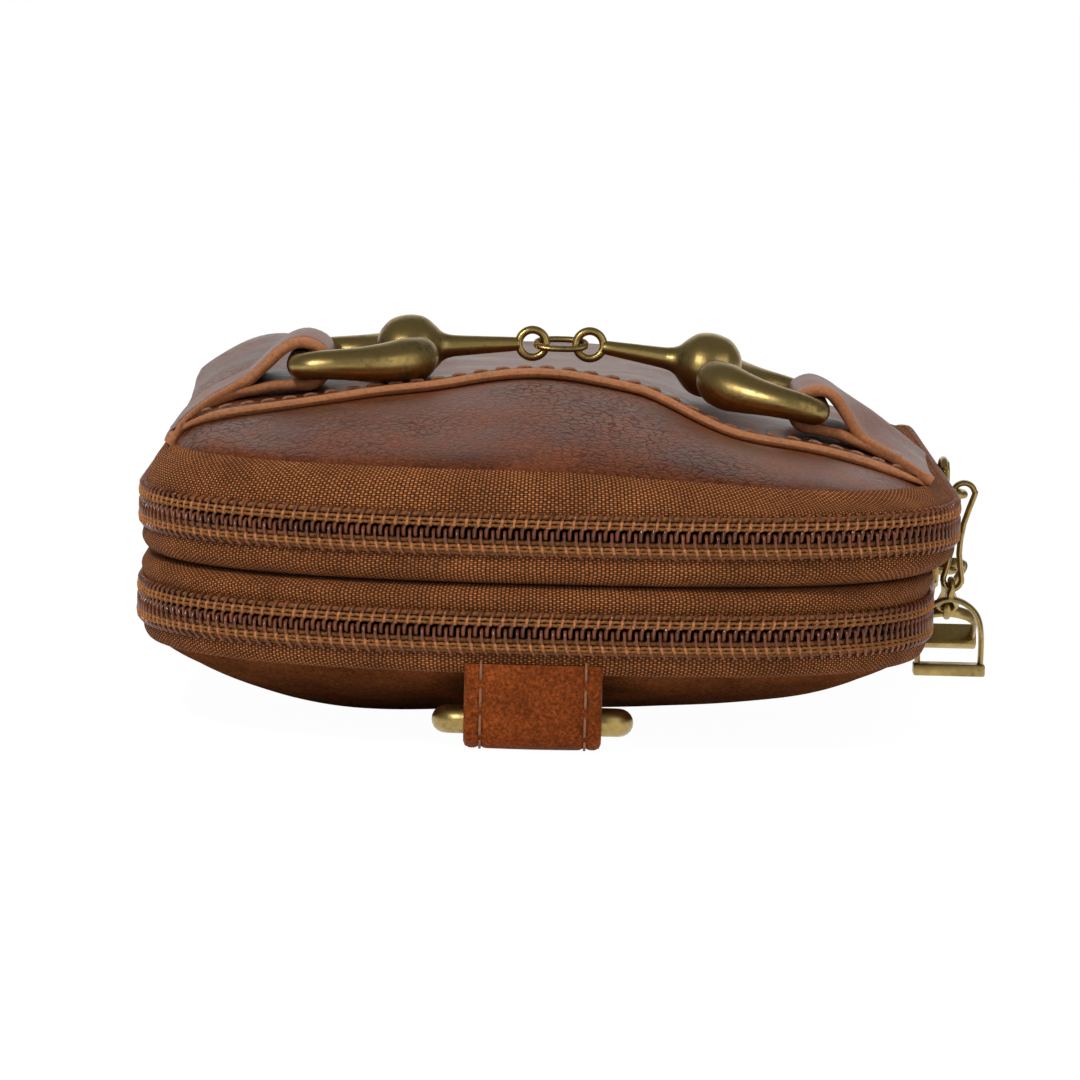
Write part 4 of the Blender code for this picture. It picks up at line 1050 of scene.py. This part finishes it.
class BAG_OT_slip_pocket(bpy.types.Operator):
    """Add the slip pocket, its turned edge and the row of stitches behind the edge."""

    bl_idname = "bag.slip_pocket"
    bl_label = "Slip pocket"

    def execute(self, context):
        looks = context.scene.bag_leather
        gape = looks.gape / MM
        columns, rows = 84, 120
        spread = np.sin(np.linspace(-1, 1, columns) * math.pi / 2)
        down = np.linspace(0, 1, rows) ** 1.15
        across = np.tile(spread, rows)
        share = np.repeat(down, columns)
        x, y = pocket_points(across, share)
        lift = pocket_lift(across, share, gape) + front_bumps(x, y)
        low = drawn_in(off_face(front_height, x, y, lift))
        high = drawn_in(off_face(front_height, x, y, lift + POCKET_LEATHER))
        layer = rows * columns
        faces = []
        for j in range(rows - 1):
            for i in range(columns - 1):
                a = j * columns + i
                quad = (a, a + 1, a + columns + 1, a + columns)
                faces += [tuple(reversed(quad)), tuple(v + layer for v in quad)]
        border = list(range(columns)) + [j * columns + columns - 1 for j in range(1, rows)]
        border += [(rows - 1) * columns + i for i in range(columns - 2, -1, -1)]
        border += [j * columns for j in range(rows - 2, 0, -1)]
        faces += [(a, b, b + layer, a + layer) for a, b in zip(border, border[1:] + border[:1])]
        pocket = make_piece("slip_pocket", np.concatenate([low, high]), faces, finish_of("front_leather"))
        ride_for(pocket, "front", "front_leather", "front_pocket")
        self.add_edge(looks, gape)
        return {"FINISHED"}

    def add_edge(self, looks, gape):
        """The turned edge along the mouth, with stitches behind it."""
        count = 160
        spread = np.linspace(-0.998, 0.998, count)
        x, y = pocket_points(spread, np.zeros(count))
        lift = pocket_lift(spread, np.zeros(count), gape) + front_bumps(x, y)
        bead = looks.edge_bead / MM / 2 * (0.55 + 0.45 * smooth_step((1 - np.abs(spread)) / 0.12))[:, None, None]
        middle, normal = off_surface(front_height, x, y, lift + POCKET_LEATHER / 2 - 0.2)
        forward = np.cross(unit_rows(np.gradient(middle, axis=0)), normal)
        sides = 12
        angles = np.linspace(0, 2 * math.pi, sides, endpoint=False)
        rings = (middle[:, None] + forward[:, None] * (np.cos(angles)[None, :, None] * bead * 1.25)
                 + normal[:, None] * (np.sin(angles)[None, :, None] * bead * 0.92))
        edge = make_piece("pocket_turned_edge", rings.reshape(-1, 3), ring_faces(count, sides),
                          finish_of("edge_leather"))
        ride_for(edge, "front", "trim_leather")
        back = np.full(count, 0.022)
        x, y = pocket_points(spread, back)
        lift = pocket_lift(spread, back, gape) + front_bumps(x, y) + POCKET_LEATHER + 0.05
        row, normal = off_surface(front_height, x, y, lift)
        unit = stitch_unit()
        stitches = repeat_along("pocket_stitches", row[6:-6], normal[6:-6], unit, looks.stitch_pitch,
                                finish_of("seam_thread"))
        bpy.data.objects.remove(unit)
        ride_for(stitches, "front", "trim_leather")


def stitch_unit(length=1.9, radius=0.24):
    """One stitch: a short thread that dips at both ends."""
    half = length / 2
    path = [(-half, 0, -0.25), (-half * 0.7, 0, 0.02), (0, 0, 0.08), (half * 0.7, 0, 0.02), (half, 0, -0.25)]
    return unit_object("stitch", [sweep(path, radius, (0, 1, 0), 6)])


class BAG_OT_bit_straps(bpy.types.Operator):
    """Add the two leather straps that hold the horsebit's rings."""

    bl_idname = "bag.bit_straps"
    bl_label = "Bit straps"

    def execute(self, context):
        low, high = BIT_Y - STRAP_HALF_WIDTH, BIT_Y + STRAP_HALF_WIDTH
        for side, word, near, far in ((-1, "left", STRAP_LEFT, STRAP_LEFT), (1, "right", STRAP_RIGHT, STRAP_RIGHT_FAR)):
            paths = []
            for y, line in ((low, near), (high, far)):
                line = catmull(line, 4)
                last = line[-1]
                outs = last[0] + side * np.array([2.6, 5.0, 7.6, 10.2])
                under = off_face(dressed_front, outs, np.full(4, float(y)), np.array([2.6, 2.3, 2.1, 1.9]))
                under[:, 2] = np.minimum(under[:, 2], last[1] - 0.1)
                paths.append(np.concatenate([line, catmull(under[:, ::2], 3)]))
            vertices, faces, uvs = ribbon(paths[0], STRAP_LEATHER, low, high, "Y", 14, 0.3, paths[1])
            strap = make_piece(f"bit_strap_leather_{word}", flared(vertices), faces, finish_of("strap_leather"), uvs,
                               sharp=60)
            strap.data.materials.append(finish_of("edge_leather"))
            mark_edges(strap, vertices[:, 1], low, high, STRAP_LEATHER / 2)
            ride_for(strap, "front", "trim_leather", f"bit_strap_{word}")
        return {"FINISHED"}


def flared(vertices):
    """A strap whose near edge widens along the surface where it runs into the bag's side seam."""
    x, y = vertices[:, 0], vertices[:, 1]
    moved = y - 14 * smooth_step((np.abs(x) - 41) / 9) * smooth_step((BIT_Y + 4 - y) / 14)
    drop = dressed_front(x, moved) - dressed_front(x, y)
    return np.column_stack([x, moved, vertices[:, 2] + drop])


def mark_edges(piece, places, low, high, depth):
    """Give a strip's two cut edges the painted finish, from each vertex's place across the strip."""
    for polygon in piece.data.polygons:
        place = sum(places[i] for i in polygon.vertices) / len(polygon.vertices)
        if place < low + depth * 0.98 or place > high - depth * 0.98:
            polygon.material_index = 1


class BAG_OT_linings(bpy.types.Operator):
    """Add the soft divider between the compartments and the two gussets at the far end."""

    bl_idname = "bag.linings"
    bl_label = "Divider and gussets"

    def execute(self, context):
        rings = []
        for share, height in ((0.0, -0.35), (0.02, -0.8), (0.2, -0.95), (0.2, 0.95), (0.02, 0.8), (0.0, 0.35)):
            outline = closed_outline(DIVIDER_INSET + share * 20)
            rings.append(np.column_stack([outline, np.full(len(outline), MIDDLE_SEAM + height)]))
        divider = make_piece("divider_cloth", np.concatenate(rings), ring_faces(len(rings), len(rings[0])),
                             finish_of("lining"))
        ride_for(divider, "middle", "lining", "divider")
        for node, low, high, bodies in (
                ("back_gusset", BACK_SEAM + 0.1, MIDDLE_SEAM - DIVIDER_GAP, ("back", "middle")),
                ("front_gusset", MIDDLE_SEAM + DIVIDER_GAP, FRONT_SEAM - 0.1, ("middle", "front"))):
            middle = (0.9, (low + high) / 2)
            if "front" in bodies:
                line = [(3.6, low - 0.25), (1.3, low + 1.5), middle, (2.0, high - 2.2), (FRONT_INSET, high)]
            else:
                line = [(1.9, low), (1.3, low + 1.5), middle, (1.3, high - 1.5), (3.6, high + 0.25)]
            section = strip_section(catmull(line, 5), GUSSET_LEATHER)
            lift = lean_above(MIDDLE_SEAM + 2) if "front" in bodies else None
            piece = band(node + "_leather", section, finish_of("front_leather"),
                         lambda inset: far_outline(max(inset, 0.0), GUSSET_START_Y), lift)
            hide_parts(node)
            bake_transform(piece)
        return {"FINISHED"}


class BAG_OT_zip_tapes(bpy.types.Operator):
    """Add the four woven zip tapes and the dark seam between the two zips."""

    bl_idname = "bag.zip_tapes"
    bl_label = "Zip tapes"

    def execute(self, context):
        below, above = MIDDLE_SEAM - TAPE_SEAM_GAP - BACK_CHAIN, MIDDLE_SEAM + TAPE_SEAM_GAP - FRONT_CHAIN
        for zip_name, half, body, rest in (
                ("back", "lower", "back", [(0.95, -3.5), (1.1, -4.2), (1.6, -4.9), (2.6, -5.1)]),
                ("back", "upper", "middle", [(0.7, 3.6), (0.6, 4.5), (1.5, 5.4), (3.4, below)]),
                ("front", "lower", "middle", [(0.7, -3.7), (0.6, -4.7), (1.4, -5.7), (3.4, above)]),
                ("front", "upper", "front", [(1.3, 3.6), (1.9, 4.6), (2.8, 5.6), (3.7, 6.3), (4.5, 6.75)])):
            up = 1 if half == "upper" else -1
            line = [(inset, up * height) for inset, height in TAPE_EDGE] + rest
            section = strip_section(catmull(line, 4) + np.array([0, CHAINS[zip_name]]), TAPE_THICKNESS)
            lift = lean_above(FRONT_CHAIN + 2.6) if body == "front" else None
            node = f"{zip_name}_tape_{half}"
            ride_for(band(node + "_cloth", section, finish_of("tape"), zip_outline, lift), body, "zip_tape", node)
        ends = [(CORD_INSET, MIDDLE_SEAM - 0.3), (CORD_INSET, MIDDLE_SEAM + 0.3)]
        seam = band("middle_seam_cord", strip_section(ends, CORD_THICKNESS), finish_of("seam"), zip_outline)
        ride_for(seam, "middle", "trim_leather", "middle_welt")
        return {"FINISHED"}


def tooth_unit(up, wire):
    """One turn of a coil half, x along the chain, y up and z outwards; up is 1 for an upper half."""
    half = wire / 2
    if up > 0:
        path = [(0.6, 2.2, -1.3, half), (0.52, 2.75, -0.8, half), (0.42, 2.76, -0.3, half), (0.22, 2.4, 0.0, half),
                (0.04, 1.95, -0.12, half), (-0.06, 1.4, -0.28, half), (-0.3, 1.0, -0.26, half), (-0.48, 0.5, -0.2, 0.3),
                (-0.5, -0.3, -0.3, 0.3), (-0.5, -0.5, -0.7, half), (-0.5, 0.0, -1.3, half)]
    else:
        path = [(1.2, 2.2, -1.3, half), (1.14, 2.75, -0.8, half), (1.04, 2.76, -0.3, half), (0.84, 2.4, 0.0, half),
                (0.66, 2.0, -0.12, half), (0.6, 1.6, -0.25, half), (0.42, 1.2, 0.0, half), (0.35, 0.6, 0.06, 0.22),
                (0.34, -0.2, 0.04, 0.24), (0.34, -0.4, -0.2, 0.24), (0.34, -0.35, -0.7, half), (0.34, 0.1, -1.3, half)]
    points = np.array([(x, y * up, z) for x, y, z, _ in path])
    return unit_object(f"coil turn {up}", [sweep(points, [r for _, _, _, r in path], (1, 0, 0), 6)])


def knot_unit(up):
    """One knot of the thread that holds a coil half to its tape."""
    middle, low, high = (0.0, 1.08, 1.84) if up > 0 else (0.62, 1.42, 2.08)
    knot = [(middle - 0.1, low - 0.16, -0.3), (middle - 0.06, low + 0.06, 0.08), (middle, (low + high) / 2, 0.16),
            (middle + 0.06, high - 0.06, 0.08), (middle + 0.1, high + 0.16, -0.3)]
    parts = [sweep([(x, y * up, z) for x, y, z in knot], [0.16, 0.25, 0.17, 0.25, 0.16], (1, 0, 0), 6)]
    return unit_object(f"thread knot {up}", parts)


def strand_unit(up, pitch):
    """The two strands from one knot to the next, and on a lower half the core cord between the wires."""
    middle, low, high = (0.0, 1.16, 1.76) if up > 0 else (0.62, 1.5, 2.0)
    parts = []
    for y, bow in ((low + 0.1, -0.06), (high - 0.1, 0.06)):
        strand = [(middle, y * up, 0.02), (middle + pitch * 0.2, (y + bow * 0.4) * up, -0.03),
                  (middle + pitch / 2, (y + bow * 2) * up, -0.12), (middle + pitch * 0.8, (y + bow * 0.4) * up, -0.03),
                  (middle + pitch, y * up, 0.02)]
        parts.append(sweep(strand, 0.2, (0, 0, 1), 6))
    parts.append(sweep([(0, 2.3 * up, -0.62), (pitch, 2.3 * up, -0.62)], 0.36, (0, 0, 1), 6))
    if up < 0:
        parts.append(sweep([(0, -1.0, -0.6), (pitch, -1.0, -0.6)], 0.36, (0, 0, 1), 6))
    return unit_object(f"thread strands {up}", parts)


class BAG_OT_zip_coils(bpy.types.Operator):
    """Add the four nylon coil halves and the thread that sews each to its tape."""

    bl_idname = "bag.zip_coils"
    bl_label = "Zip coils"

    def execute(self, context):
        zips = context.scene.bag_zips
        rail = zip_outline(0.0)
        along = np.gradient(rail, axis=0)
        outward = unit_rows(np.stack([along[:, 1], -along[:, 0]], 1))
        ups = np.column_stack([outward, np.zeros(len(rail))])
        for up, half_name in ((-1, "lower"), (1, "upper")):
            tooth = tooth_unit(up, zips.wire / MM)
            knot = knot_unit(up)
            strand = strand_unit(up, zips.pitch / MM)
            for zip_name, bodies in (("back", ("back", "middle")), ("front", ("middle", "front"))):
                path = drawn_in(np.column_stack([rail, np.full(len(rail), CHAINS[zip_name])]))
                body = bodies[0 if up < 0 else 1]
                name = f"{zip_name}_coil_{half_name}"
                turns = repeat_along(name + "_turns", path, ups, tooth, zips.pitch, finish_of("coil"))
                ride_for(turns, body, "zip_coil", name)
                # the strands and cords take the thread's darker copy, which is painted shade
                for word, unit, look in (("knots", knot, "thread"), ("strands", strand, "strand")):
                    threads = repeat_along(f"{name}_{word}", path, ups, unit, zips.pitch, finish_of(look))
                    ride_for(threads, body, "zip_tape")
            for unit in (tooth, knot, strand):
                bpy.data.objects.remove(unit)
        return {"FINISHED"}


class BAG_OT_horsebit(bpy.types.Operator):
    """Add the horsebit: two rings, two cannons and the small link between them."""

    bl_idname = "bag.horsebit"
    bl_label = "Horsebit"

    def execute(self, context):
        sides = context.scene.bag_brass.sides
        for side, word in ((-1, "left"), (1, "right")):
            bar, pin = np.array(RING_BARS[side]), np.array(RING_PINS[side])
            corners = [(1.0, 0.0, 1.9), (1.0, 0.66, 1.85), (1.0, 0.8, 1.6), (0.99, 0.93, 1.7), (0.9, 1.02, 1.85),
                       (0.72, 1.04, 2.0), (0.5, 0.99, 2.25), (0.28, 0.88, 2.7), (0.1, 0.74, 3.1), (-0.02, 0.58, 2.9),
                       (-0.03, 0.44, 2.0), (0.0, 0.34, 1.45), (0.0, 0.0, 1.4)]
            corners += [(x, -y, r) for x, y, r in reversed(corners[1:-1])]
            loop = catmull(corners, 6, closed=True)
            flat = pin + (bar - pin) * loop[:, :1]
            droop = 0.9 * smooth_step((np.abs(loop[:, 1]) - 0.38) / 0.25) * smooth_step((0.9 - loop[:, 0]) / 0.8)
            path = np.column_stack([flat[:, 0], BIT_Y + loop[:, 1] * RING_HALF_HEIGHT, flat[:, 1] - droop])
            run = (bar - pin) / np.linalg.norm(bar - pin)
            normal = np.array((-run[1], 0, run[0])) * side
            brass_piece(f"bit_ring_brass_{word}", [sweep(path, loop[:, 2], normal, sides, closed=True)],
                        f"bit_ring_{word}")
            ride_for(self.cannon(side, word), f"bit_cannon_{word}", "antique_brass", f"bit_cannon_{word}")
        turn = math.radians(22)
        path = []
        for u, v in arc((0, 0), 1.0, 0, 360, 40)[:-1]:
            x = BIT_SHIFT + 3.35 * math.copysign(abs(u) ** 0.8, u)
            across = 1.5 * math.copysign(abs(v) ** 0.8, v)
            path.append((x, BIT_Y + across * math.cos(turn), EYE_HEIGHT + across * math.sin(turn)))
        wire = sweep(path, BIT_LINK_WIRE, (0, -math.sin(turn), math.cos(turn)), 12, closed=True)
        brass_piece("bit_link_brass", [wire], "bit_link")
        return {"FINISHED"}

    def cannon(self, side, word):
        """A knuckle round the ring's pin, a tapered rod with a raised collar and an eye."""
        look = finish_of("brass")
        eye_x = BIT_SHIFT + side * EYE_SPREAD
        ball_x, ball_z = BALLS[side]
        inward = -side
        run, climb = (eye_x - ball_x) * inward, EYE_HEIGHT - ball_z
        reach = math.hypot(run, climb)
        run, climb = run / reach, climb / reach
        profile = [(-BALL_RADIUS, 0.0), (-4.3, 1.4), (-3.6, 2.75), (-2.2, 3.95), (0.0, BALL_RADIUS), (2.0, 4.05),
                   (3.4, 2.95), (4.2, 2.1), (4.9, 1.7), (5.6, 1.52), (6.4, 1.42), (reach * 0.6, 1.2),
                   (reach - 2.4, 0.95), (reach - 1.75, 0.8)]
        sides = 24
        turns = np.linspace(0, 2 * math.pi, sides, endpoint=False)
        rings = []
        for x, r in catmull(profile, 4):
            girth = max(r, 0.02)
            rings.append([(ball_x + inward * (x * run - girth * math.sin(t) * climb), BIT_Y + girth * math.cos(t),
                           ball_z + x * climb + girth * math.sin(t) * run)
                          for t in turns])
        body = make_piece(f"bit_cannon_brass_{word}", np.concatenate(rings), ring_faces(len(rings), sides), look,
                          sharp=80)
        pin_x, pin_z = RING_PINS[side]
        bore_path = [(pin_x, BIT_Y - 8, pin_z), (pin_x, BIT_Y + 8, pin_z)]
        cutter = make_piece("bore", *sweep(bore_path, PIN_BORE, (0, 0, 1), 20), look)
        cut = body.modifiers.new("bore", "BOOLEAN")
        cut.operation = "DIFFERENCE"
        cut.object = cutter
        bake_modifiers(body)
        bpy.data.objects.remove(cutter)
        eye_path = [(eye_x + x, BIT_Y, EYE_HEIGHT + z) for x, z in arc((0, 0), EYE_RADIUS, 0, 360, 32)[:-1]]
        eye = make_piece("eye", *sweep(eye_path, EYE_WIRE, (0, 1, 0), 12, closed=True), look)
        return merge_pieces(body, eye)


def bake_modifiers(piece):
    """Turn a piece's live modifiers into its own mesh."""
    mesh = final_mesh(piece)
    piece.modifiers.clear()
    piece.data = mesh
    shade(mesh, SHARP_ANGLE)


def merge_pieces(first, *others):
    """Join closed pieces into one object."""
    body = bmesh.new()
    for piece in (first, *others):
        body.from_mesh(piece.data)
    body.to_mesh(first.data)
    body.free()
    for piece in others:
        bpy.data.objects.remove(piece)
    shade(first.data, SHARP_ANGLE)
    return first


class BAG_OT_strap_tab(bpy.types.Operator):
    """Add the near end's leather tab with its stitches, and the strap ring."""

    bl_idname = "bag.strap_tab"
    bl_label = "Strap tab and ring"

    def execute(self, context):
        bar_y, bar_z = STRAP_RING_BAR
        front_y = bar_y - TAB_WRAP
        path = [(front_y, BACK_SEAM + 0.6), (front_y - 0.15, 8.2), (front_y - 0.1, 5.4)]
        path += arc(STRAP_RING_BAR, TAB_WRAP, 180, 355, 10)
        path += [(bar_y + TAB_WRAP, bar_z + 1.0)]
        low, high = TAB_X - TAB_HALF_WIDTH, TAB_X + TAB_HALF_WIDTH
        vertices, faces, uvs = ribbon(catmull(path, 4), TAB_LEATHER, low, high, "X", 60, bow=-0.12, groove=TAB_SEAM_IN)
        tab = make_piece("strap_tab_leather", vertices, faces, finish_of("tab_leather"), uvs, sharp=60)
        ride_for(tab, "back", "trim_leather", "strap_tab")
        self.add_stitches(front_y, context.scene.bag_leather.stitch_pitch)
        self.add_ring()
        return {"FINISHED"}

    def add_stitches(self, front_y, pitch):
        """A row near each edge, down the tab's front and round its loop."""
        bar_y, bar_z = STRAP_RING_BAR
        sunk, on_front = 0.12, 12
        unit = stitch_unit(2.5, 0.2)
        for side, word in ((-1, "left"), (1, "right")):
            x = TAB_X + side * (TAB_HALF_WIDTH - TAB_SEAM_IN)
            heights = np.linspace(BACK_SEAM - 0.2, 4.6, on_front)
            fronts = front_y - TAB_LEATHER / 2 + sunk + np.interp(heights, [3.6, 5.4, 8.2, 11.1], [0, -0.1, -0.15, 0])
            row = [(x, y, z) for y, z in zip(fronts, heights)]
            row += [(x, y, z) for y, z in arc(STRAP_RING_BAR, TAB_WRAP + TAB_LEATHER / 2 - sunk, 183, 300, 20)]
            out = np.array(row) - np.array([x, bar_y, bar_z])
            out[:on_front] = (0, -1, 0)
            out[:, 0] = 0
            stitches = repeat_along(f"tab_stitches_{word}", row, unit_rows(out), unit, pitch, finish_of("seam_thread"))
            ride_for(stitches, "back", "trim_leather")
        bpy.data.objects.remove(unit)

    def add_ring(self):
        """The D-shaped ring that lies under the bag, its far side a hair above the table."""
        bar_y, bar_z = STRAP_RING_BAR
        half, reach, corner = 11.05, 14.5, 2.0
        straight = reach - half * 0.9
        loop = [(x, 0.0) for x in np.linspace(-half + corner, half - corner, 8)]
        loop += arc((half - corner, corner), corner, -60, 0, 4)
        loop += [(half * u, straight + (reach - straight) * v) for u, v in arc((0, 0), 1.0, 0, 180, 32)]
        loop += arc((-half + corner, corner), corner, 180, 240, 4)
        drop = math.asin((bar_z - STRAP_RING_WIRE - 0.08) / reach)
        path = [(TAB_X + x, bar_y + y * math.cos(drop), bar_z - y * math.sin(drop)) for x, y in loop]
        ring = sweep(path, STRAP_RING_WIRE, (0, math.sin(drop), math.cos(drop)), 20, closed=True)
        brass_piece("strap_ring_brass", [ring], "strap_ring")


class BAG_OT_sliders(bpy.types.Operator):
    """Add both zip sliders with their links and stirrup pulls, and the stops at the zips' ends."""

    bl_idname = "bag.sliders"
    bl_label = "Sliders, pulls and stops"

    def execute(self, context):
        for name, y in SLIDER_Y.items():
            brass_piece(f"{name}_slider_brass", self.slider(y, CHAINS[name]), f"{name}_slider", sharp=50)
        for name, (x, z, play, turn, stirrup_turn) in PULLS.items():
            self.pull(name, np.array((x, SLIDER_Y[name], z)), play, axis_turn(*turn), axis_turn(*stirrup_turn))
        for name in ("front_stop_left", "front_stop_right", "back_stop_left", "back_stop_right"):
            low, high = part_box(name)
            block, faces = rounded_box(low / MM, high / MM, 0.45)
            brass_piece(name + "_brass", [(drawn_in(np.array(block)), faces)], "middle", name)
        return {"FINISHED"}

    def slider(self, y, chain):
        """A slider: two wings with raised rims, a neck between the coils and an arch for the link."""
        x = HALF_WIDTH

        def shield(size):
            upper = [(y + v, chain + w * size) for v, w in SLIDER_SHIELD]
            return upper + [(y + v, chain - w * size) for v, w in reversed(SLIDER_SHIELD)]

        parts = [plate(shield(size), x + low, x + high, WING_BEVEL)
                 for size, (low, high) in ((1, WING_OUTSIDE), (WING_INSIDE_SIZE, WING_INSIDE))]
        for edge in (1, -1):
            rim = catmull([(x + 0.7, y + v, chain + edge * (w - 0.1)) for v, w in SLIDER_SHIELD[1:-1]], 3)
            parts.append(sweep(rim, 0.55, (1, 0, 0), 10))
        parts.append(rounded_box((x - 3.2, y - 4.2, chain - 0.2), (x + 0.6, y + 4.2, chain + 0.2), 0.08))
        foot, top, half = x + 1.3, x + 3.8, 3.0
        arch = catmull([(foot - 0.4, -half - 0.3), (foot + 0.6, -half), (top - 0.3, -half + 0.7), (top, 0.0),
                        (top - 0.3, half - 0.7), (foot + 0.6, half), (foot - 0.4, half + 0.3)], 5)
        parts.append(sweep([(u, y + v, chain - 1.2) for u, v in arch], 0.5, (0, 0, 1), 12))
        return parts

    def pull(self, name, place, play, turn, stirrup_turn):
        """The link through the slider's arch, and the stirrup hung in it."""
        reach, half = LINK_REACH, LINK_HALF_WIDTH
        loop = [(x, 0, z + play) for x, z in arc((0, 0), half, 0, 180, 10)]
        loop += [(-half * 0.8, 0, -reach * 0.3), (-half * 0.5, 0, -reach * 0.7)]
        loop += [(x * 0.85, 0, z) for x, z in arc((0, -reach), half, 180, 360, 10)]
        loop += [(half * 0.3, 0, -reach * 0.7), (half * 0.35, 0, -reach * 0.35)]
        vertices, faces = sweep(catmull(loop, 2, closed=True), PULL_WIRE, (0, 1, 0), 12, closed=True, flatten=1.9)
        brass_piece(f"{name}_link_brass", [(vertices @ turn.T + place, faces)], f"{name}_link", f"{name}_pull_link")
        hang = turn @ np.array((0, 0, -reach - half)) + place
        eye = [(0, y, z) for y, z in arc((0, 0), 1.3, 0, 360, 24)[:-1]]
        shoulder, tall, wide = -1.4, 9.0, 4.4
        leg = [(0, 0), (0.5, 0.08), (0.86, 0.26), (1.0, 0.55), (1.0, 1.02)]
        arch = catmull([(-wide * a, 0, shoulder - tall * b) for a, b in reversed(leg[1:])]
                       + [(wide * a, 0, shoulder - tall * b) for a, b in leg], 6)
        foot = shoulder - tall
        parts = [sweep(eye, 0.5, (1, 0, 0), 12, closed=True), sweep(arch, PULL_WIRE, (0, 1, 0), 12, flatten=2.2),
                 rounded_box((-wide - 0.6, -1.7, foot - 1.7), (wide + 0.6, 1.7, foot), 0.3)]
        placed = [(np.asarray(v) @ stirrup_turn.T + hang, f) for v, f in parts]
        brass_piece(f"{name}_pull_brass", placed, f"{name}_pull", sharp=50)


def axis_turn(degrees, about):
    """A rotation about X or Y as a 3 by 3 array."""
    c, s = math.cos(math.radians(degrees)), math.sin(math.radians(degrees))
    if about == "X":
        return np.array([(1, 0, 0), (0, c, -s), (0, s, c)])
    return np.array([(c, 0, s), (0, 1, 0), (-s, 0, c)])


class BAG_PT_panel(bpy.types.Panel):
    """The sidebar panel with the bag's settings and pieces."""

    bl_idname = "BAG_PT_panel"
    bl_label = "Phone bag"
    bl_space_type = "VIEW_3D"
    bl_region_type = "UI"
    bl_category = "Phone bag"

    def draw(self, context):
        layout = self.layout
        for name, group in SETTINGS.items():
            box = layout.box()
            for key in group.__annotations__:
                box.prop(getattr(context.scene, name), key)
        for operator in OPERATORS:
            layout.operator(operator.bl_idname)


SETTINGS = {"bag_leather": BagLeatherSettings, "bag_zips": BagZipSettings, "bag_brass": BagBrassSettings,
            "bag_stage": BagStageSettings}
OPERATORS = (BAG_OT_stage, BAG_OT_front_leather, BAG_OT_back_leather, BAG_OT_slip_pocket, BAG_OT_bit_straps,
             BAG_OT_linings, BAG_OT_zip_tapes, BAG_OT_zip_coils, BAG_OT_horsebit, BAG_OT_strap_tab, BAG_OT_sliders)


def register():
    """Add the settings, operators and panel to Blender."""
    for group in SETTINGS.values():
        bpy.utils.register_class(group)
    for name, group in SETTINGS.items():
        setattr(bpy.types.Scene, name, PointerProperty(type=group))
    for operator in OPERATORS:
        bpy.utils.register_class(operator)
    bpy.utils.register_class(BAG_PT_panel)


def unregister():
    """Take them out again."""
    bpy.utils.unregister_class(BAG_PT_panel)
    for operator in reversed(OPERATORS):
        bpy.utils.unregister_class(operator)
    for name, group in SETTINGS.items():
        delattr(bpy.types.Scene, name)
        bpy.utils.unregister_class(group)


def main():
    """Make the stage and every piece."""
    register()
    for operator in OPERATORS:
        group, name = operator.bl_idname.split(".")
        getattr(getattr(bpy.ops, group), name)()


if __name__ == "__main__":
    main()
